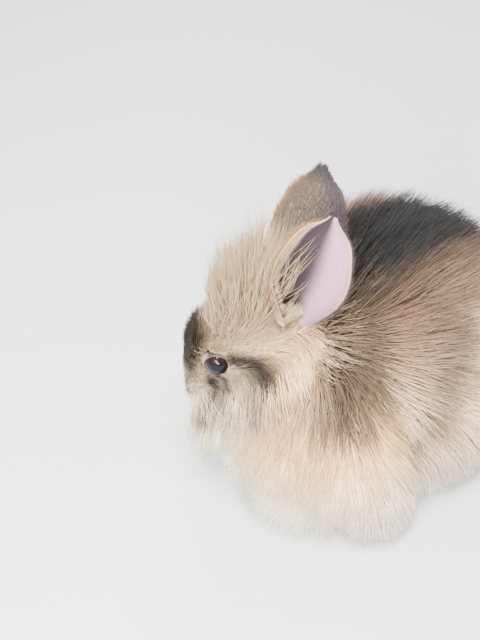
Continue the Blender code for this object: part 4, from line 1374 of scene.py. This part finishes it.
def make_spikes_tree():
    """Spikes on the points of a mesh, along its attribute way, as long as its attribute long says."""
    tree = bpy.data.node_groups.new("spikes", "GeometryNodeTree")
    add_sockets(tree, "INPUT", Roots="Geometry", Thickness="Float", Bend="Float", Variation="Float",
                Seed="Int", Finish="Material")
    add_sockets(tree, "OUTPUT", Spikes="Geometry")
    come = add_node(tree, "NodeGroupInput").outputs
    tip = add_node(tree, "ShaderNodeCombineXYZ", {"X": come["Bend"], "Z": 1.0})
    stem = add_node(tree, "GeometryNodeCurveQuadraticBezier",
                    {"Resolution": 6, "Start": (0, 0, 0), "Middle": (0, 0, 0.55), "End": tip.outputs[0]})
    along = add_node(tree, "GeometryNodeSplineParameter")
    taper = add_node(tree, "ShaderNodeMath", {0: 1 + TIP_SHARE, 1: along.outputs["Factor"]},
                     operation="SUBTRACT")
    slim = add_node(tree, "GeometryNodeSetCurveRadius",
                    {"Curve": stem.outputs[0], "Radius": taper.outputs[0]})
    ring = add_node(tree, "GeometryNodeCurvePrimitiveCircle", {"Resolution": 7, "Radius": come["Thickness"]})
    spike = add_node(tree, "GeometryNodeCurveToMesh",
                     {"Curve": slim.outputs[0], "Profile Curve": ring.outputs[0], "Fill Caps": True})
    way = add_node(tree, "GeometryNodeInputNamedAttribute", {"Name": "way"}, data_type="FLOAT_VECTOR")
    turn = add_node(tree, "FunctionNodeAlignRotationToVector", {"Vector": way.outputs["Attribute"]}, axis="Z")
    long = add_node(tree, "GeometryNodeInputNamedAttribute", {"Name": "long"}, data_type="FLOAT")
    least = add_node(tree, "ShaderNodeMath", {0: 1.0, 1: come["Variation"]}, operation="SUBTRACT")
    chance = add_node(tree, "FunctionNodeRandomValue", {"Seed": come["Seed"]}, data_type="FLOAT")
    low, high = (socket for socket in chance.inputs if socket.type == "VALUE" and socket.enabled)
    tree.links.new(least.outputs[0], low)
    high.default_value = 1.0
    drawn = next(socket for socket in chance.outputs if socket.enabled)
    size = add_node(tree, "ShaderNodeMath", {0: long.outputs["Attribute"], 1: drawn}, operation="MULTIPLY")
    copies = add_node(tree, "GeometryNodeInstanceOnPoints",
                      {"Points": come["Roots"], "Instance": spike.outputs[0], "Rotation": turn.outputs[0],
                       "Scale": size.outputs[0]})
    real = add_node(tree, "GeometryNodeRealizeInstances", {0: copies.outputs[0]})
    smooth = add_node(tree, "GeometryNodeSetShadeSmooth", {0: real.outputs[0]})
    painted = add_node(tree, "GeometryNodeSetMaterial",
                       {"Geometry": smooth.outputs[0], "Material": come["Finish"]})
    add_node(tree, "NodeGroupOutput", {"Spikes": painted.outputs[0]})
    return tree


spikes_tree = make_spikes_tree()


def spikes(name, roots_mm, ways, longs, finish, thickness, bend, variation):
    """A plain mesh of spikes. The lengths are millimetres, and the thickness and bend are shares of them."""
    mesh = plain_mesh(name, to_frame(roots_mm), [])
    way = mesh.attributes.new("way", "FLOAT_VECTOR", "POINT")
    way.data.foreach_set("vector", np.ravel(unit(np.array(ways, float))))
    long = mesh.attributes.new("long", "FLOAT", "POINT")
    long.data.foreach_set("value", np.array(longs, float) * MM)
    source = shown(name + "_roots", mesh)
    grow = source.modifiers.new("grow", "NODES")
    grow.node_group = spikes_tree
    given = {"Thickness": thickness, "Bend": bend, "Variation": variation, "Seed": ROOTS_SEED,
             "Finish": finish}
    for item in spikes_tree.interface.items_tree:
        if item.in_out == "INPUT" and item.name in given:
            grow[item.identifier] = given[item.name]
    made = bpy.data.meshes.new_from_object(source.evaluated_get(bpy.context.evaluated_depsgraph_get()))
    bpy.data.objects.remove(source)
    print(name, len(longs), "spikes", len(made.polygons), "faces")
    return shown(name, made)


HORN_GRAIN = 0.6


def horny(name, colour, roughness, grain_size):
    """A stiff, faintly glossy finish, varied with the shared grain."""
    made, shader = new_finish(name, {"Roughness": roughness})
    grained(made.node_tree, shader, (*colour, 1.0), grain_size, HORN_GRAIN)
    return made


# %% [markdown]
# The long whiskers stand in rows on the side of the muzzle, with a few over the eye. The lashes are short and
# follow the upper lid. Four claws end the toes of each foot, slightly bent and partly under the fur.

# %% Whiskers, lashes and claws where they grow
WHISKER_PLACES = [(row, k) for row in range(4) for k in range(5)]
WHISKER_SHAPE = {"thickness": 0.0042, "bend": 0.14, "variation": 0.25}
LASHES = 11
LASH_SHAPE = {"thickness": 0.028, "bend": 0.3, "variation": 0.3}
LASH_LONG = 3.2
LASH_OUT = 0.6
LASH_OVER = 0.4
CLAW_SHAPE = {"thickness": 0.17, "bend": -0.18, "variation": 0.1}
HIND_CLAW = 7.0
FORE_CLAW = 5.0
CLAW_WAY = (-1.0, 0.0, -0.2)

whisker_finish = horny("whisker", paint(226, 216, 200), 0.45, 300.0)
lash_finish = horny("lash", paint(48, 38, 32), 0.5, 300.0)
claw_finish = horny("claw", paint(112, 92, 76), 0.35, 500.0)
small_parts = []
for side_name, side in SIDES.items():
    seats = [(29 - 2.2 * k - 0.8 * row, 16 * side, -7.5 - 2.4 * row) for row, k in WHISKER_PLACES]
    seats += [(9 - 4 * k, 17 * side, 18) for k in range(2)]
    seats, seat_normals, _, _ = nearest_on_skin(from_head(seats))
    ways = [(0.75 - 0.28 * k, side, 0.1 - 0.2 * row) for row, k in WHISKER_PLACES]
    ways += [(0.0, side * 0.6, 0.8)] * 2
    ways = np.array(ways) @ HEAD_AXES + seat_normals * 0.3
    longs = [12 + 2.4 * k for _, k in WHISKER_PLACES] + [10, 8]
    small_parts.append(spikes(f"whiskers_{side_name}", seats, ways, longs, whisker_finish, **WHISKER_SHAPE))

    out, level, _ = eye_axes(side)
    rims = [opening_at(side, angle, LASH_OUT) for angle in np.radians(np.linspace(35, 150, LASHES))]
    seats = [over_globe(side, rim, LASH_OVER) for rim in rims]
    ways = [(out * 0.8 + unit(rim) * 0.7 - level * 0.25) @ HEAD_AXES for rim in rims]
    longs = [LASH_LONG] * LASHES
    small_parts.append(spikes(f"lashes_{side_name}", from_head(seats), ways, longs, lash_finish,
                              **LASH_SHAPE))

    seats = [toe_tip(HIND_TOES, spread, -45.5, 4.2, -side) for spread in HIND_TOES["spreads"]]
    seats += [toe_tip(FORE_TOES, spread, -80, 3.6, -side) for spread in FORE_TOES["spreads"]]
    longs = [HIND_CLAW] * 4 + [FORE_CLAW] * 4
    small_parts.append(spikes(f"claws_{side_name}", seats, [CLAW_WAY] * len(seats), longs, claw_finish,
                              **CLAW_SHAPE))

# %% [markdown]
# ## Stage and light
# A plain pale floor and four soft lamps. The one called window stands beside the camera, and its reflection
# is the bright bar in the eye.

# %% Floor and lamps
FLOOR_HALF = 1.5
KEY_DISTANCE = 0.9
KEY_HEIGHT = math.radians(68.0)
FLOOR_LOOK = {"Base Color": (0.56, 0.56, 0.55, 1.0), "Roughness": 0.9}
SKY = (0.95, 0.96, 1.0, 1.0)
SKY_POWER = 1.15


def lamp(name, place, target, size, power, roll=0.0):
    data = bpy.data.lights.new(name, "AREA")
    data.shape = "RECTANGLE"
    data.size, data.size_y = size
    data.energy = power
    obj = shown(name, data)
    way = Vector(target) - Vector(place)
    turn = way.to_track_quat("-Z", "Y").to_matrix().to_4x4() @ Matrix.Rotation(roll, 4, "Z")
    obj.matrix_world = Matrix.Translation(place) @ turn


corners = [(x * FLOOR_HALF, y * FLOOR_HALF, 0) for x, y in ((-1, -1), (1, -1), (1, 1), (-1, 1))]
floor = shown("floor", plain_mesh("floor", corners, [(0, 1, 2, 3)]))
floor.data.materials.append(new_finish("floor_paint", FLOOR_LOOK)[0])

key_way = np.array((math.sin(CAMERA_AZIMUTH) * math.cos(KEY_HEIGHT),
                    -math.cos(CAMERA_AZIMUTH) * math.cos(KEY_HEIGHT), math.sin(KEY_HEIGHT)))
lamp("key", near_eye + key_way * KEY_DISTANCE, near_eye, (0.55, 0.26), 38.0, roll=math.radians(35))
window_way = unit(back - right * 0.17 - up * 0.29)
lamp("window", near_eye + window_way * KEY_DISTANCE, near_eye, (0.72, 0.22), 36.0, roll=math.radians(-45))
lamp("fill", (-0.9, -0.3, 0.5), (0, 0, 0.08), (0.8, 0.8), 8.0)
lamp("rim", (0.5, 0.7, 0.8), (0, 0, 0.1), (0.6, 0.6), 18.0)
world = bpy.data.worlds.new("studio")
world.use_nodes = True
world.node_tree.nodes["Background"].inputs["Color"].default_value = SKY
world.node_tree.nodes["Background"].inputs["Strength"].default_value = SKY_POWER
bpy.context.scene.world = world

# %% [markdown]
# ## The frame
# Nothing moves on a museum mount, so every piece rides the root. The skin takes the place of the flesh, and
# shells and globes that of the ears and eyes.

# %% Hand the pieces to the frame
FLESH = ("head", "neck", "torso", "tail", "foreleg_left", "foreleg_right", "hindleg_left", "hindleg_right")
for obj in [skin] + ears + coat + list(eyes.values()) + lids + small_parts:
    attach(obj, "root")
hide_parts(*FLESH)
for name, obj in zip(SIDES, ears):
    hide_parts(f"ear_{name}")
for name, obj in eyes.items():
    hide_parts(f"eye_{name}")
